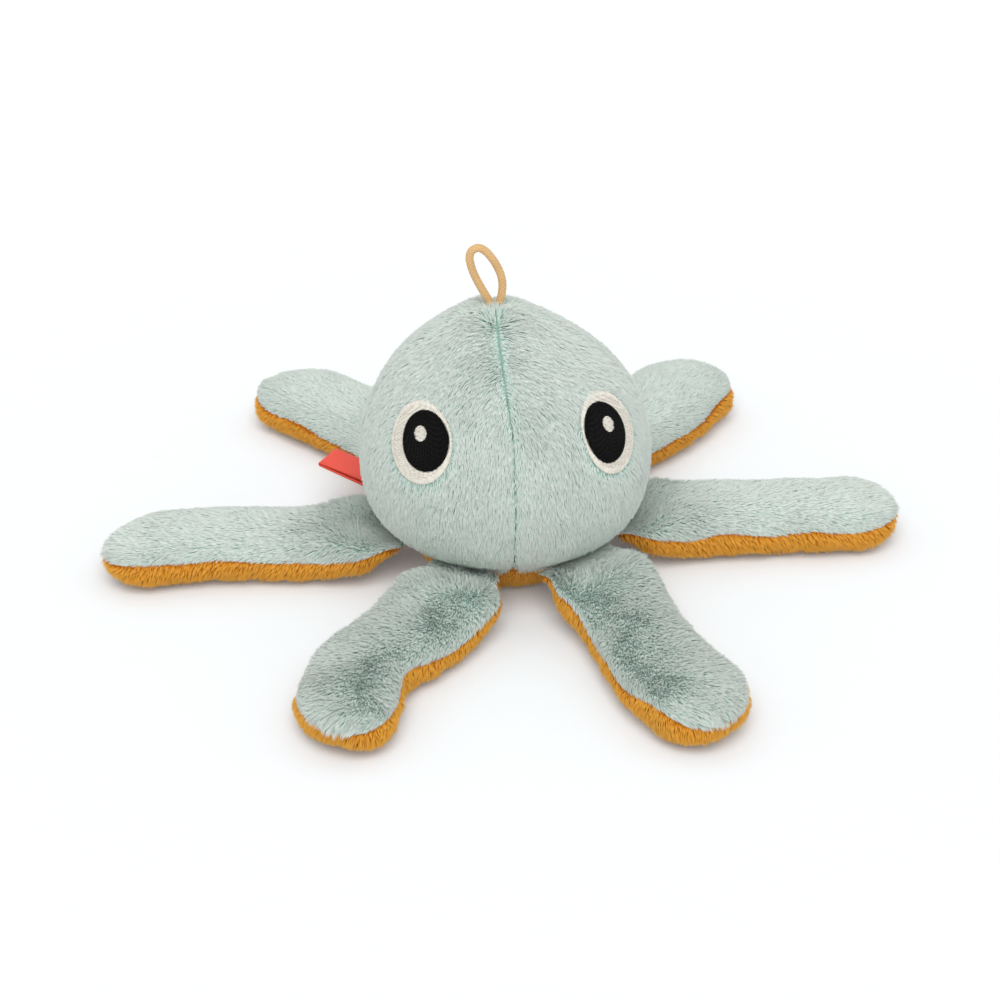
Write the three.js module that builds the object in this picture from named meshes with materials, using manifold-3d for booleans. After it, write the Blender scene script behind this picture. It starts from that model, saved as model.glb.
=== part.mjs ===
// A plush jellyfish rattle: a round head of four sewn gores over a fibre filling, a hard rattle capsule with
// loose balls in its middle, a sewn base, six soft arms caught in the base seam, embroidered eyes, a hanging
// loop at the crown and a folded ribbon tag.
// Millimetres, +Z up. The origin is the middle of the flat underside of the base, and the eyes look along -Y.
// Left and right are as seen by someone who faces the eyes.

import * as THREE from "three";
import Module from "manifold-3d";

const wasm = await Module();
wasm.setup();

// Cloth and seams
const PLUSH = 3.2; // backing cloth and pile together
const CLEARANCE = 0.3; // between pieces that touch
const SEAM_DIP = 1.3; // a sewn seam pulls the pile in this deep
const SEAM_REACH = 3.4; // and this far to either side

// Head
const HEAD_RADIUS = 44;
const SEAM_HEIGHT = 12.5; // of the base seam over the table
const SEAM_DROP = 24; // of the base seam below the middle of the head
const SEAM_TUCK = 4; // the base seam draws the head in by this much
const TUCK_SPREAD = 9; // how far above the base seam that fades out
const CROWN_RISE = 5.3; // the gathered point where the gores meet
const CROWN_SPREAD = 17; // how far from the crown that point fades out
const CROWN_LEAN = -3; // sideways, of the crown
const CROWN_HOLE = 4.6; // radius of the gap that the loop comes out of
const BASE_FLAT = 15; // radius of the flat that the toy stands on
const GORE_COUNT = 4;

// Rattle
const CAPSULE_RADIUS = 16;
const CAPSULE_WALL = 1.8;
const LIP_HEIGHT = 3; // of the lower half's lip inside the upper half
const BALL_RADIUS = 3;
const BALL_COUNT = 4;

// Eyes, as half axes across and along each oval
const EYE_POLAR = 64; // degrees down from the crown
const EYE_TILT = 25; // degrees that the top of an eye leans outward
const EYE_THREAD = 1.2; // thickness of the embroidery
const EYE_SINK = 0.6; // depth of its face below the pile
const WHITE_HALF = { across: 11.6, along: 13 };
const PUPIL_HALF = { across: 8.5, along: 9.4 };
const GLINT_HALF = { across: 2.4, along: 2.3 };
const PUPIL_INWARD = 2.4; // from the middle of the white towards the front seam
const GLINT_OUTWARD = 1; // from the middle of the pupil away from the front seam
const GLINT_UP = 2.2;

// Arms
const ARM_LENGTH = 87; // from the base seam to the tip
const ARM_ROOT_HALF = 12.8; // half width at the base seam
const ARM_SHOULDER_HALF = 17.3; // where it comes out from under the head
const ARM_WAIST_HALF = 16.4;
const ARM_BULB_HALF = 16.6;
const ARM_RISE = 7.5; // of the top above the side seam
const ARM_DEPTH = 8.5; // of the underside below the side seam
const ARM_BOXY = 0.7; // 1 for an oval underside, less for a fuller one
const ARM_SEWN_HALF = 1.2; // half thickness where the root is sewn flat
const ARM_SHOULDER = 11; // length over which the root widens
const ARM_SWELL = 26; // length over which the root swells and comes down to the table

// Hanging loop: the middle of the cord, across and up from the crown
const CORD_RADIUS = 1.2;
const LOOP_ROUTE = [
  [-1.5, 0], [-2.4, 1.8], [-3.6, 4], [-5, 6.8], [-6.2, 9.6], [-7, 12.3], [-7.3, 14.6], [-6.6, 16.6],
  [-4.7, 17.4], [-2.7, 16.3], [-0.9, 14.1], [0.7, 11.3], [1.8, 8.4], [2.2, 5.5], [2, 2.7], [1.4, 0],
];

// Ribbon tag
const TAG_AZIMUTH = 148;
const TAG_PITCH = 11; // degrees that it rises towards its fold
const TAG_LENGTH = 30;
const TAG_WIDTH = 10;
const RIBBON = 0.5;
const FOLD_GAP = 0.4; // between the two layers

// Each arm's azimuth at the seam, how far its tip hooks and how far its middle bellies to the side
const ARMS = [
  { name: "front_left", azimuth: -119, hook: 5, belly: -3 },
  { name: "front_right", azimuth: -54, hook: -22.5, belly: -6 },
  { name: "right", azimuth: 5, hook: -6, belly: 0 },
  { name: "back_right", azimuth: 63, hook: -23, belly: -7 },
  { name: "back_left", azimuth: 118, hook: 15, belly: -2 },
  { name: "left", azimuth: 178, hook: 10.5, belly: -0.5 },
];

// The front gores meet at the first seam, which faces -Y. Each gore runs from its seam to the next.
const GORES = [
  { name: "front_right", seam: -90, eyeTurn: 49.1, side: 1 },
  { name: "back_right", seam: 0 },
  { name: "back_left", seam: 90 },
  { name: "front_left", seam: 180, eyeTurn: 44, side: -1 },
];

// Facets
const GORE_ROWS = 14;
const GORE_COLUMNS = 10;
const ROUND_SEGMENTS = 24;
const EYE_SEGMENTS = 20;
const EYE_STEPS = 2;
const ARM_STATIONS = 12;
const ARM_SIDES = 7;
const ARC_STEPS = 6;
const BALL_SEGMENTS = 10;
const CORD_SIDES = 8;
const CORD_STEPS = 36;
const WELD = 1e-4; // points closer than this are one

// Sizes that follow from those above
const { degToRad, lerp, smoothstep } = THREE.MathUtils;
const HEAD_CENTRE = SEAM_HEIGHT + SEAM_DROP;
const SEAM_REACH_IN = HEAD_RADIUS - SEAM_TUCK; // from the middle of the head to the base seam
const SEAM_POLAR = Math.acos(-SEAM_DROP / SEAM_REACH_IN);
const CROWN_POLAR = Math.asin(CROWN_HOLE / (HEAD_RADIUS + CROWN_RISE));
const SEAM_RADIUS = SEAM_REACH_IN * Math.sin(SEAM_POLAR);
const LINING = PLUSH + CLEARANCE; // depth of the filling below the pile

const material = (color, roughness, metalness = 0) =>
  new THREE.MeshStandardMaterial({ color, roughness, metalness });
const MINT = material("#b9cdc5", 0.95);
const MUSTARD = material("#cf8a26", 0.95);
const FIBRE = material("#f2f0ea", 1);
const SHELL = material("#e9e6dc", 0.45);
const BALL = material("#c9cdd2", 0.3, 0.9);
const WHITE_THREAD = material("#e3dfd3", 0.6);
const BLACK_THREAD = material("#131313", 0.55);
const CORD = material("#d9b074", 0.7);
const RIBBON_RED = material("#e8452f", 0.6);

// Welds the points of a geometry, drops the triangles that collapse and turns the faces outward.
function closed(geometry) {
  const source = geometry.index ? geometry.toNonIndexed() : geometry;
  const from = source.getAttribute("position");
  const points = [];
  const places = new Map();
  const corners = [];
  for (let i = 0; i < from.count; i++) {
    const p = [from.getX(i), from.getY(i), from.getZ(i)];
    const key = p.map((x) => Math.round(x / WELD)).join();
    if (!places.has(key)) {
      places.set(key, points.length);
      points.push(new THREE.Vector3(...p));
    }
    corners.push(places.get(key));
  }
  const triangles = [];
  let volume = 0;
  for (let i = 0; i < corners.length; i += 3) {
    const [a, b, c] = corners.slice(i, i + 3);
    if (a === b || b === c || c === a) continue;
    triangles.push([a, b, c]);
    volume += points[a].dot(points[b].clone().cross(points[c]));
  }
  const facing = volume < 0 ? triangles.map(([a, b, c]) => [a, c, b]) : triangles;
  const made = new THREE.BufferGeometry().setFromPoints(points);
  made.setIndex(facing.flat());
  made.computeVertexNormals();
  return made;
}

// Solid between two grids of points with the same rows and columns. With wrap, the last column joins the first.
function between(outer, inner, wrap = false) {
  const rows = outer.length;
  const columns = outer[0].length;
  const corners = [];
  const quad = (a, b, c, d) => corners.push(a, b, c, a, c, d);
  const next = (j) => (j + 1) % columns;
  const spans = wrap ? columns : columns - 1;
  for (let j = 0; j < spans; j++) {
    for (let i = 0; i + 1 < rows; i++) {
      quad(outer[i][j], outer[i + 1][j], outer[i + 1][next(j)], outer[i][next(j)]);
      quad(inner[i][j], inner[i][next(j)], inner[i + 1][next(j)], inner[i + 1][j]);
    }
    const last = rows - 1;
    quad(outer[0][j], outer[0][next(j)], inner[0][next(j)], inner[0][j]);
    quad(outer[last][next(j)], outer[last][j], inner[last][j], inner[last][next(j)]);
  }
  for (let i = 0; i + 1 < rows && !wrap; i++) {
    const end = columns - 1;
    quad(outer[i][0], inner[i][0], inner[i + 1][0], outer[i + 1][0]);
    quad(outer[i][end], outer[i + 1][end], inner[i + 1][end], inner[i][end]);
  }
  return closed(new THREE.BufferGeometry().setFromPoints(corners));
}

const grid = (rows, columns, at) =>
  Array.from({ length: rows + 1 }, (_, i) =>
    Array.from({ length: columns + 1 }, (_, j) => at(i / rows, j / columns)));

const revolved = (profile) => closed(new THREE.LatheGeometry(profile, ROUND_SEGMENTS).rotateX(Math.PI / 2));

// A geometry as a solid that can be joined and cut, and back again.
const solid = (geometry) =>
  new wasm.Manifold(new wasm.Mesh({
    numProp: 3,
    vertProperties: geometry.getAttribute("position").array,
    triVerts: new Uint32Array(geometry.index.array),
  }));
function unsolid(manifold) {
  const { vertProperties, triVerts } = manifold.getMesh();
  const geometry = new THREE.BufferGeometry();
  geometry.setAttribute("position", new THREE.BufferAttribute(new Float32Array(vertProperties), 3));
  geometry.setIndex([...triVerts]);
  return closed(geometry);
}

// The crown leans to one side, and all that lies over the rattle leans with it.
const crownHeight = HEAD_CENTRE + (HEAD_RADIUS + CROWN_RISE) * Math.cos(CROWN_POLAR);
const leanAt = (z) => CROWN_LEAN * smoothstep(z, HEAD_CENTRE + CAPSULE_RADIUS + CLEARANCE, crownHeight);
function leaning(geometry) {
  const points = geometry.getAttribute("position");
  for (let i = 0; i < points.count; i++) points.setX(i, points.getX(i) + leanAt(points.getZ(i)));
  geometry.computeVertexNormals();
  return geometry;
}

const toy = new THREE.Group();
function add(name, geometry, look, parent = toy) {
  const mesh = new THREE.Mesh(geometry, look);
  mesh.name = name;
  parent.add(mesh);
}

// Head: distance of the pile from the middle of the head, before the seams pull it in
const fade = (angle, spread) => Math.exp(-((angle * HEAD_RADIUS / spread) ** 2));
const headReach = (polar) =>
  HEAD_RADIUS + CROWN_RISE * fade(polar, CROWN_SPREAD) - SEAM_TUCK * fade(SEAM_POLAR - polar, TUCK_SPREAD);

function seamDip(polar, azimuth) {
  const turn = (2 * Math.PI) / GORE_COUNT;
  const off = azimuth / turn - Math.round(azimuth / turn);
  const away = headReach(polar) * Math.sin(polar) * Math.sin(off * turn);
  return SEAM_DIP * Math.exp(-((away / SEAM_REACH) ** 2));
}

function headPoint(polar, azimuth, depth) {
  const at = new THREE.Vector3();
  at.setFromSphericalCoords(headReach(polar) - depth, polar, 0);
  return new THREE.Vector3(at.z * Math.cos(azimuth), at.z * Math.sin(azimuth), HEAD_CENTRE + at.y);
}

// The curve of the base, this deep inside its pile, from the seam round to the flat
function baseCurve(depth) {
  const down = new THREE.Vector2(Math.cos(SEAM_POLAR), -Math.sin(SEAM_POLAR));
  const reach = SEAM_REACH_IN - depth;
  const seam = new THREE.Vector2(Math.sin(SEAM_POLAR) * reach, HEAD_CENTRE + Math.cos(SEAM_POLAR) * reach);
  seam.addScaledVector(down, CLEARANCE);
  const bend = seam.clone().addScaledVector(down, (seam.y - depth) / -down.y);
  return new THREE.QuadraticBezierCurve(seam, bend, new THREE.Vector2(BASE_FLAT, depth)).getPoints(ARC_STEPS);
}

// The rows of the head crowd towards its crown, and its filling has the same rows.
const rowPolar = (share) => lerp(CROWN_POLAR, SEAM_POLAR, share ** 1.25);

function headArc(from, to, depth) {
  const rows = Array.from({ length: GORE_ROWS + 1 }, (_, i) => rowPolar(i / GORE_ROWS));
  const polars = [from, ...rows.filter((polar) => polar > from + WELD && polar < to - WELD), to];
  return polars.map((polar) => {
    const reach = headReach(polar) - depth;
    return new THREE.Vector2(Math.sin(polar) * reach, HEAD_CENTRE + Math.cos(polar) * reach);
  });
}

// An arc about the middle of the head, from the first angle above the horizon to the second
const ballArc = (radius, from, to) =>
  Array.from({ length: ARC_STEPS + 1 }, (_, i) => {
    const angle = lerp(from, to, i / ARC_STEPS);
    return new THREE.Vector2(Math.cos(angle) * radius, HEAD_CENTRE + Math.sin(angle) * radius);
  });

function goreGeometry(seam) {
  const start = degToRad(seam);
  const width = (2 * Math.PI) / GORE_COUNT;
  const surface = (depth, dips) =>
    grid(GORE_ROWS, GORE_COLUMNS, (v, u) => {
      const polar = rowPolar(v);
      const edge = Math.asin(CLEARANCE / 2 / ((headReach(polar) - depth) * Math.sin(polar)));
      const spread = (u + 0.5 - Math.cos(u * Math.PI) / 2) / 2; // columns crowd towards the seams
      const azimuth = start + lerp(edge, width - edge, spread);
      return headPoint(polar, azimuth, depth + (dips ? seamDip(polar, azimuth) : 0));
    });
  return between(surface(0, true), surface(PLUSH, false));
}

// Eyes: a patch between two ovals of thread on the curve of the head
function eyePlace(turn, side) {
  const azimuth = degToRad(-90 + side * turn);
  const middle = headPoint(degToRad(EYE_POLAR), azimuth, 0);
  const out = middle.clone().setZ(middle.z - HEAD_CENTRE).normalize();
  const across = new THREE.Vector3(-Math.sin(azimuth), Math.cos(azimuth), 0).multiplyScalar(side);
  const along = new THREE.Vector3().crossVectors(out, across).multiplyScalar(side);
  const lean = degToRad(-EYE_TILT) * side;
  across.applyAxisAngle(out, lean);
  along.applyAxisAngle(out, lean);
  return { out, across, along };
}

function eyePoint(place, across, along, depth) {
  const way = place.out.clone().multiplyScalar(HEAD_RADIUS);
  way.addScaledVector(place.across, across).addScaledVector(place.along, along).normalize();
  return headPoint(Math.acos(way.z), Math.atan2(way.y, way.x), depth);
}

// Each oval is { across, along } for its middle and its two half axes. A missing inner oval makes a full patch.
function eyePatch(place, oval, hole, top, bottom) {
  const surface = (depth) =>
    Array.from({ length: EYE_STEPS + 1 }, (_, i) =>
      Array.from({ length: EYE_SEGMENTS }, (_, j) => {
        const angle = (j / EYE_SEGMENTS) * 2 * Math.PI;
        const on = (o) => [
          o.middle.across + o.half.across * Math.cos(angle),
          o.middle.along + o.half.along * Math.sin(angle),
        ];
        const rim = on(oval);
        const inside = hole ? on(hole) : [oval.middle.across, oval.middle.along];
        const share = i / EYE_STEPS;
        return eyePoint(place, lerp(inside[0], rim[0], share), lerp(inside[1], rim[1], share), depth);
      }));
  return between(surface(top), surface(bottom), true);
}

const grown = (oval, by) => ({
  middle: oval.middle,
  half: { across: oval.half.across + by, along: oval.half.along + by },
});

function addGore({ name, seam, eyeTurn, side }) {
  const gore = goreGeometry(seam);
  if (!eyeTurn) {
    add("head_panel_" + name, leaning(gore), MINT);
    return;
  }
  const place = eyePlace(eyeTurn, side);
  const white = { middle: { across: 0, along: 0 }, half: WHITE_HALF };
  const pupil = { middle: { across: -PUPIL_INWARD, along: 0 }, half: PUPIL_HALF };
  const glint = { middle: { across: GLINT_OUTWARD - PUPIL_INWARD, along: GLINT_UP }, half: GLINT_HALF };
  const back = EYE_SINK + EYE_THREAD;
  const pocket = eyePatch(place, grown(white, CLEARANCE), null, -SEAM_DIP, back + CLEARANCE);
  add("head_panel_" + name, leaning(unsolid(solid(gore).subtract(solid(pocket)))), MINT);
  const eye = side > 0 ? "right_eye_" : "left_eye_";
  const thread = (oval, hole) => leaning(eyePatch(place, oval, hole, EYE_SINK, back));
  add(eye + "white", thread(white, grown(pupil, CLEARANCE)), WHITE_THREAD);
  add(eye + "pupil", thread(pupil, grown(glint, CLEARANCE)), BLACK_THREAD);
  add(eye + "glint", thread(glint, null), WHITE_THREAD);
}
GORES.forEach(addGore);

// Base
const axisPoint = (z) => new THREE.Vector2(0, z);
add("base_panel", revolved([axisPoint(0), ...baseCurve(0).reverse(), ...baseCurve(PLUSH), axisPoint(PLUSH)]),
  MUSTARD);

// Filling, in two wads that meet round the capsule
const pocket = CAPSULE_RADIUS + CLEARANCE;
const split = Math.asin(CLEARANCE / 2 / pocket);
const wadPolar = Math.acos(CLEARANCE / 2 / (HEAD_RADIUS - LINING));
const upperProfile = [...headArc(0, wadPolar, LINING), ...ballArc(pocket, split, Math.PI / 2)];
add("filling_upper", leaning(revolved(upperProfile)), FIBRE);
add("filling_lower", revolved([
  ...ballArc(pocket, -Math.PI / 2, -split),
  ...headArc(Math.PI - wadPolar, SEAM_POLAR, LINING),
  ...baseCurve(LINING),
  axisPoint(LINING),
]), FIBRE);

// Capsule: two half shells, the lower one's lip inside the upper one's skirt
const capsuleInner = CAPSULE_RADIUS - CAPSULE_WALL;
const lipOuter = CAPSULE_RADIUS - (CAPSULE_WALL + CLEARANCE) / 2;
const skirtInner = lipOuter + CLEARANCE;
const equator = CLEARANCE / 2;
const onBall = (radius, height) => new THREE.Vector2(Math.sqrt(radius ** 2 - height ** 2), HEAD_CENTRE + height);
const skirtTop = LIP_HEIGHT + CLEARANCE;
add("rattle_capsule_upper", revolved([
  ...ballArc(CAPSULE_RADIUS, Math.PI / 2, Math.asin(equator / CAPSULE_RADIUS)),
  onBall(skirtInner, equator),
  onBall(skirtInner, skirtTop),
  ...ballArc(capsuleInner, Math.asin(skirtTop / capsuleInner), Math.PI / 2),
]), SHELL);
add("rattle_capsule_lower", revolved([
  ...ballArc(CAPSULE_RADIUS, -Math.PI / 2, -Math.asin(equator / CAPSULE_RADIUS)),
  onBall(lipOuter, -equator),
  onBall(lipOuter, LIP_HEIGHT),
  ...ballArc(capsuleInner, Math.asin(LIP_HEIGHT / capsuleInner), -Math.PI / 2),
]), SHELL);

// Rattle balls, in a ring on the floor of the capsule
const ballRing = (BALL_RADIUS + CLEARANCE) / Math.sin(Math.PI / BALL_COUNT);
const ballReach = capsuleInner - BALL_RADIUS - CLEARANCE;
const ballDrop = Math.sqrt(ballReach ** 2 - ballRing ** 2);
for (let i = 0; i < BALL_COUNT; i++) {
  const turn = (2 * Math.PI * i) / BALL_COUNT;
  const ball = closed(new THREE.SphereGeometry(BALL_RADIUS, BALL_SEGMENTS, BALL_SEGMENTS / 2 + 1));
  ball.translate(ballRing * Math.cos(turn), ballRing * Math.sin(turn), HEAD_CENTRE - ballDrop);
  add("rattle_ball_" + (i + 1), ball, BALL);
}

// Arms: outlines along the arm, with t from 0 at the seam to 1 at the tip
const hingeRadius = (half) => SEAM_RADIUS + (half + CLEARANCE) / Math.sin(SEAM_POLAR);
const armTip = 1 - ARM_BULB_HALF / ARM_LENGTH;
const rounded = (t) => Math.sqrt(1 - Math.max(0, (t - armTip) / (1 - armTip)) ** 2);
const armBend = (arm, t) => arm.hook * t ** 2 + arm.belly * Math.sin(Math.PI * t) ** 2;
const armSwell = (t) => smoothstep(t, 0, ARM_SWELL / ARM_LENGTH);
const armMiddle = (t) => lerp(0, ARM_DEPTH - SEAM_HEIGHT, armSwell(t));

function armHalfWidth(t) {
  const shoulder = lerp(ARM_ROOT_HALF, ARM_SHOULDER_HALF, smoothstep(t, 0, ARM_SHOULDER / ARM_LENGTH));
  const waist = lerp(shoulder, ARM_WAIST_HALF, smoothstep(t, 0.15, 0.5));
  return lerp(waist, ARM_BULB_HALF, smoothstep(t, 0.5, armTip)) * rounded(t);
}

// A point on the upper (side 1) or lower (side -1) skin of an arm, this deep below its pile
function armPoint(arm, t, round, side, depth, seam) {
  const full = side > 0 ? ARM_RISE : ARM_DEPTH;
  const thick = lerp(ARM_SEWN_HALF, full, armSwell(t)) * rounded(t) - seam;
  const power = side > 0 ? 1 : ARM_BOXY;
  const across = Math.cos(round * Math.PI);
  const up = Math.sin(round * Math.PI);
  const reach = Math.sign(across) * Math.abs(across) ** power * Math.max(armHalfWidth(t) - depth, 0);
  const height = Math.abs(up) ** power * Math.max(thick - depth, 0);
  return new THREE.Vector3(t * ARM_LENGTH, armBend(arm, t) + reach, armMiddle(t) + side * (seam + height));
}

// Stations crowd towards the tip. The inner skin stops short of the tip by its own depth.
const along = (share, depth) => Math.sin((share * Math.PI) / 2) * (1 - depth / ARM_LENGTH);

function armPanel(arm, side) {
  const skin = (depth) =>
    grid(ARM_STATIONS, ARM_SIDES, (v, u) => armPoint(arm, along(v, depth), u, side, depth, CLEARANCE / 2));
  return between(skin(0), skin(PLUSH));
}

// The filling starts one station out from the seam, where the two skins leave room for it.
function armFilling(arm) {
  const skin = (side) =>
    grid(ARM_STATIONS, ARM_SIDES, (v, u) => armPoint(arm, along(v, LINING), u, side, LINING, 0)).slice(1);
  return between(skin(1), skin(-1));
}

for (const arm of ARMS) {
  const group = new THREE.Group();
  const azimuth = degToRad(arm.azimuth);
  const reach = hingeRadius(ARM_SEWN_HALF);
  group.position.set(reach * Math.cos(azimuth), reach * Math.sin(azimuth), SEAM_HEIGHT);
  group.rotation.z = azimuth;
  toy.add(group);
  add("arm_" + arm.name + "_top", armPanel(arm, 1), MINT, group);
  add("arm_" + arm.name + "_underside", armPanel(arm, -1), MUSTARD, group);
  add("arm_" + arm.name + "_filling", armFilling(arm), FIBRE, group);
}

// Hanging loop: one elastic cord with rounded ends, on the bar tack that closes the crown
const loopPoints = LOOP_ROUTE.map(([x, z]) => new THREE.Vector3(CROWN_LEAN + x, 0, crownHeight + z));
const section = new THREE.Shape().absarc(0, 0, CORD_RADIUS, 0, 2 * Math.PI); // two sides to each segment
const cord = solid(closed(new THREE.ExtrudeGeometry(section, {
  extrudePath: new THREE.CatmullRomCurve3(loopPoints),
  steps: CORD_STEPS,
  curveSegments: CORD_SIDES / 2,
})));
const cordEnd = ({ x, y, z }) =>
  solid(closed(new THREE.SphereGeometry(CORD_RADIUS, CORD_SIDES, CORD_SIDES / 2).translate(x, y, z)));
add("hanging_loop", unsolid(cord.add(cordEnd(loopPoints[0])).add(cordEnd(loopPoints.at(-1)))), CORD);

const tackTop = crownHeight - CORD_RADIUS - CLEARANCE;
const tackFoot = HEAD_CENTRE + HEAD_RADIUS + CROWN_RISE - PLUSH;
const tackRadius = CROWN_HOLE - CLEARANCE;
const tackProfile = [
  axisPoint(tackFoot),
  new THREE.Vector2(tackRadius, tackFoot),
  new THREE.Vector2(tackRadius, (tackFoot + tackTop) / 2),
  new THREE.Vector2(tackRadius / 2, tackTop),
  axisPoint(tackTop),
];
add("loop_bar_tack", leaning(revolved(tackProfile)), CORD);

// Ribbon tag: one ribbon folded back on itself, both ends in the base seam
const tagHalf = RIBBON + FOLD_GAP / 2;
const foldCentre = TAG_LENGTH - tagHalf;
const tagProfile = new THREE.Shape();
tagProfile.moveTo(0, -tagHalf);
tagProfile.absarc(foldCentre, 0, tagHalf, -Math.PI / 2, Math.PI / 2);
tagProfile.lineTo(0, tagHalf);
tagProfile.lineTo(0, FOLD_GAP / 2);
tagProfile.absarc(foldCentre, 0, FOLD_GAP / 2, Math.PI / 2, -Math.PI / 2, true);
tagProfile.lineTo(0, -FOLD_GAP / 2);
tagProfile.closePath();
const tag = closed(new THREE.ExtrudeGeometry(tagProfile, { depth: TAG_WIDTH, bevelEnabled: false, curveSegments: 6 }));
tag.rotateX(Math.PI / 2).translate(0, TAG_WIDTH / 2, 0);
const tagGroup = new THREE.Group();
const tagReach = hingeRadius(tagHalf);
const tagTurn = degToRad(TAG_AZIMUTH);
tagGroup.position.set(tagReach * Math.cos(tagTurn), tagReach * Math.sin(tagTurn), SEAM_HEIGHT);
tagGroup.rotation.set(0, degToRad(-TAG_PITCH), tagTurn, "ZYX");
toy.add(tagGroup);
add("ribbon_tag", tag, RIBBON_RED, tagGroup);

export default toy;
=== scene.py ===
# The looks of a plush jellyfish rattle: a stuffed head of four gores, six stuffed arms, embroidered
# eyes, a cord loop at the crown and a folded ribbon tag, all with real pile, thread and weave.
# Metres, +Z up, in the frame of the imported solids. Left and right are as seen by someone who faces
# the eyes.

import math
from collections import namedtuple

import bmesh
import bpy
import numpy as np
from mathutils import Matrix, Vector, noise


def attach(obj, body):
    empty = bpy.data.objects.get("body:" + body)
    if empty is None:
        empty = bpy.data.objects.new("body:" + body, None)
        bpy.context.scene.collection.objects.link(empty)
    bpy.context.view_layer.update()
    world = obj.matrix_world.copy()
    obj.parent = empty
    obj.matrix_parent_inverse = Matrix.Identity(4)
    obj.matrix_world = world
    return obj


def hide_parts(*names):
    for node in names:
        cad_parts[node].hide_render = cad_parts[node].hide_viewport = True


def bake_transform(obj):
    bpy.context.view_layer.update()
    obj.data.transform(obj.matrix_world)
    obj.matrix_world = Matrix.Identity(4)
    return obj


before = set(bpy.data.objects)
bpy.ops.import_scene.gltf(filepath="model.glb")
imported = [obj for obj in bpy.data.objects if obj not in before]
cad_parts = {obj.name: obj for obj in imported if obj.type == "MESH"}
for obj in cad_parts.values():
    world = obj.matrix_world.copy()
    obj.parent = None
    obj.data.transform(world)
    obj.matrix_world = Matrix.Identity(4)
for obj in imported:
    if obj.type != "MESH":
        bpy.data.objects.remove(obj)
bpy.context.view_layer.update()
MM = 0.001

# Cloth and pile
PILE = 1.4 * MM  # depth of the cloth below the outside of the solids
CLOTH = 0.8 * MM  # thickness of the knitted cloth
CLEARANCE = 0.3 * MM
SEAM_DIP = 0.7 * MM  # a sewn seam pulls the cloth in this deep
SEAM_REACH = 1.7 * MM  # and this far to either side

# Head
HEAD_RADIUS = 44 * MM
SEAM_HEIGHT = 12.5 * MM  # of the base seam above the table
SEAM_DROP = 24 * MM  # of the base seam below the middle of the head
SEAM_TUCK = 4 * MM
TUCK_SPREAD = 9 * MM
CROWN_RISE = 5.3 * MM
CROWN_SPREAD = 17 * MM
CROWN_LEAN = -3 * MM
CROWN_HOLE = 4.6 * MM
BASE_FLAT = 15 * MM
LEAN_FOOT = 16.3 * MM  # above the middle of the head, where the crown starts to lean
GORES = {"front_right": -90, "back_right": 0, "back_left": 90, "front_left": 180}  # first seam, degrees

# Eyes: places in degrees, and half axes across and along each oval
EYE_POLAR = 64
EYE_TURNS = {"right": 49.1, "left": -44}
EYE_TILTS = {"right": 17, "left": 25}
WHITE_HALF = (11.6 * MM, 13 * MM)
PUPIL_HALF = (8.5 * MM, 9.4 * MM)
GLINT_HALF = (2.4 * MM, 2.3 * MM)
PUPIL_INWARD = 2.4 * MM
GLINT_OUTWARD = 1 * MM
GLINT_UP = 2.2 * MM

# Arms
ARM_LENGTH = 87 * MM
ARM_ROOT_HALF = 12.8 * MM
ARM_SHOULDER_HALF = 17.3 * MM
ARM_WAIST_HALF = 16.4 * MM
ARM_BULB_HALF = 16.6 * MM
ARM_RISE = 7.5 * MM
ARM_DEPTH = 8.5 * MM
ARM_BOXY = 0.7  # below 1, an underside is squarer than an oval
ARM_SEWN_HALF = 1.2 * MM
ARM_SHOULDER = 11 * MM
ARM_SWELL = 26 * MM
Arm = namedtuple("Arm", (
    "azimuth",  # at the seam, in degrees
    "hook",  # how far the tip bends to the side
    "belly",  # and the middle
    "trough",  # depth of the hollow along the top of the root
    "ruffled",  # how much of its pile stands up
    "rolled",  # how far the underside rolls up its sides, as a share
    "plump",  # how high its top is, as a share
    "full",  # how much wider than its solid the root is, anticlockwise and clockwise
    "sway",  # how far the soft arm bends one way and then the other
    "bulb",  # how much wider than its solid the tip is
    "nip",  # depth of a nip in its anticlockwise side
    "flare",  # how much higher its clockwise seam is near the root
), defaults=(0, 0, 0, 0))
ARMS = {
    "front_left": Arm(
        azimuth=-119, hook=5 * MM, belly=-3 * MM, trough=0.8 * MM, ruffled=0.8, rolled=0.2, plump=1.0,
        full=(1.5 * MM, -3 * MM), sway=2.4 * MM, nip=3 * MM,
    ),
    "front_right": Arm(
        azimuth=-54, hook=-22.5 * MM, belly=-6 * MM, trough=0.8 * MM, ruffled=0.8, rolled=0.2, plump=1.0,
        full=(2 * MM, 1 * MM), sway=2 * MM, bulb=0.4 * MM, flare=2 * MM,
    ),
    "right": Arm(
        azimuth=5, hook=-6 * MM, belly=0, trough=3.2 * MM, ruffled=0.1, rolled=0.4, plump=1.15,
        full=(1.5 * MM, 2 * MM),
    ),
    "back_right": Arm(
        azimuth=63, hook=-23 * MM, belly=-7 * MM, trough=0, ruffled=0.1, rolled=0.1, plump=1.45,
        full=(1.5 * MM, 1.5 * MM), bulb=1.5 * MM,
    ),
    "back_left": Arm(
        azimuth=118, hook=15 * MM, belly=-2 * MM, trough=0, ruffled=0.1, rolled=0.1, plump=1.4,
        full=(-2.5 * MM, 1.5 * MM),
    ),
    "left": Arm(
        azimuth=178, hook=10.5 * MM, belly=-0.5 * MM, trough=3.2 * MM, ruffled=0.1, rolled=0.3, plump=1.1,
        full=(4.4 * MM, 0.5 * MM), sway=2 * MM,
    ),
}

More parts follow.
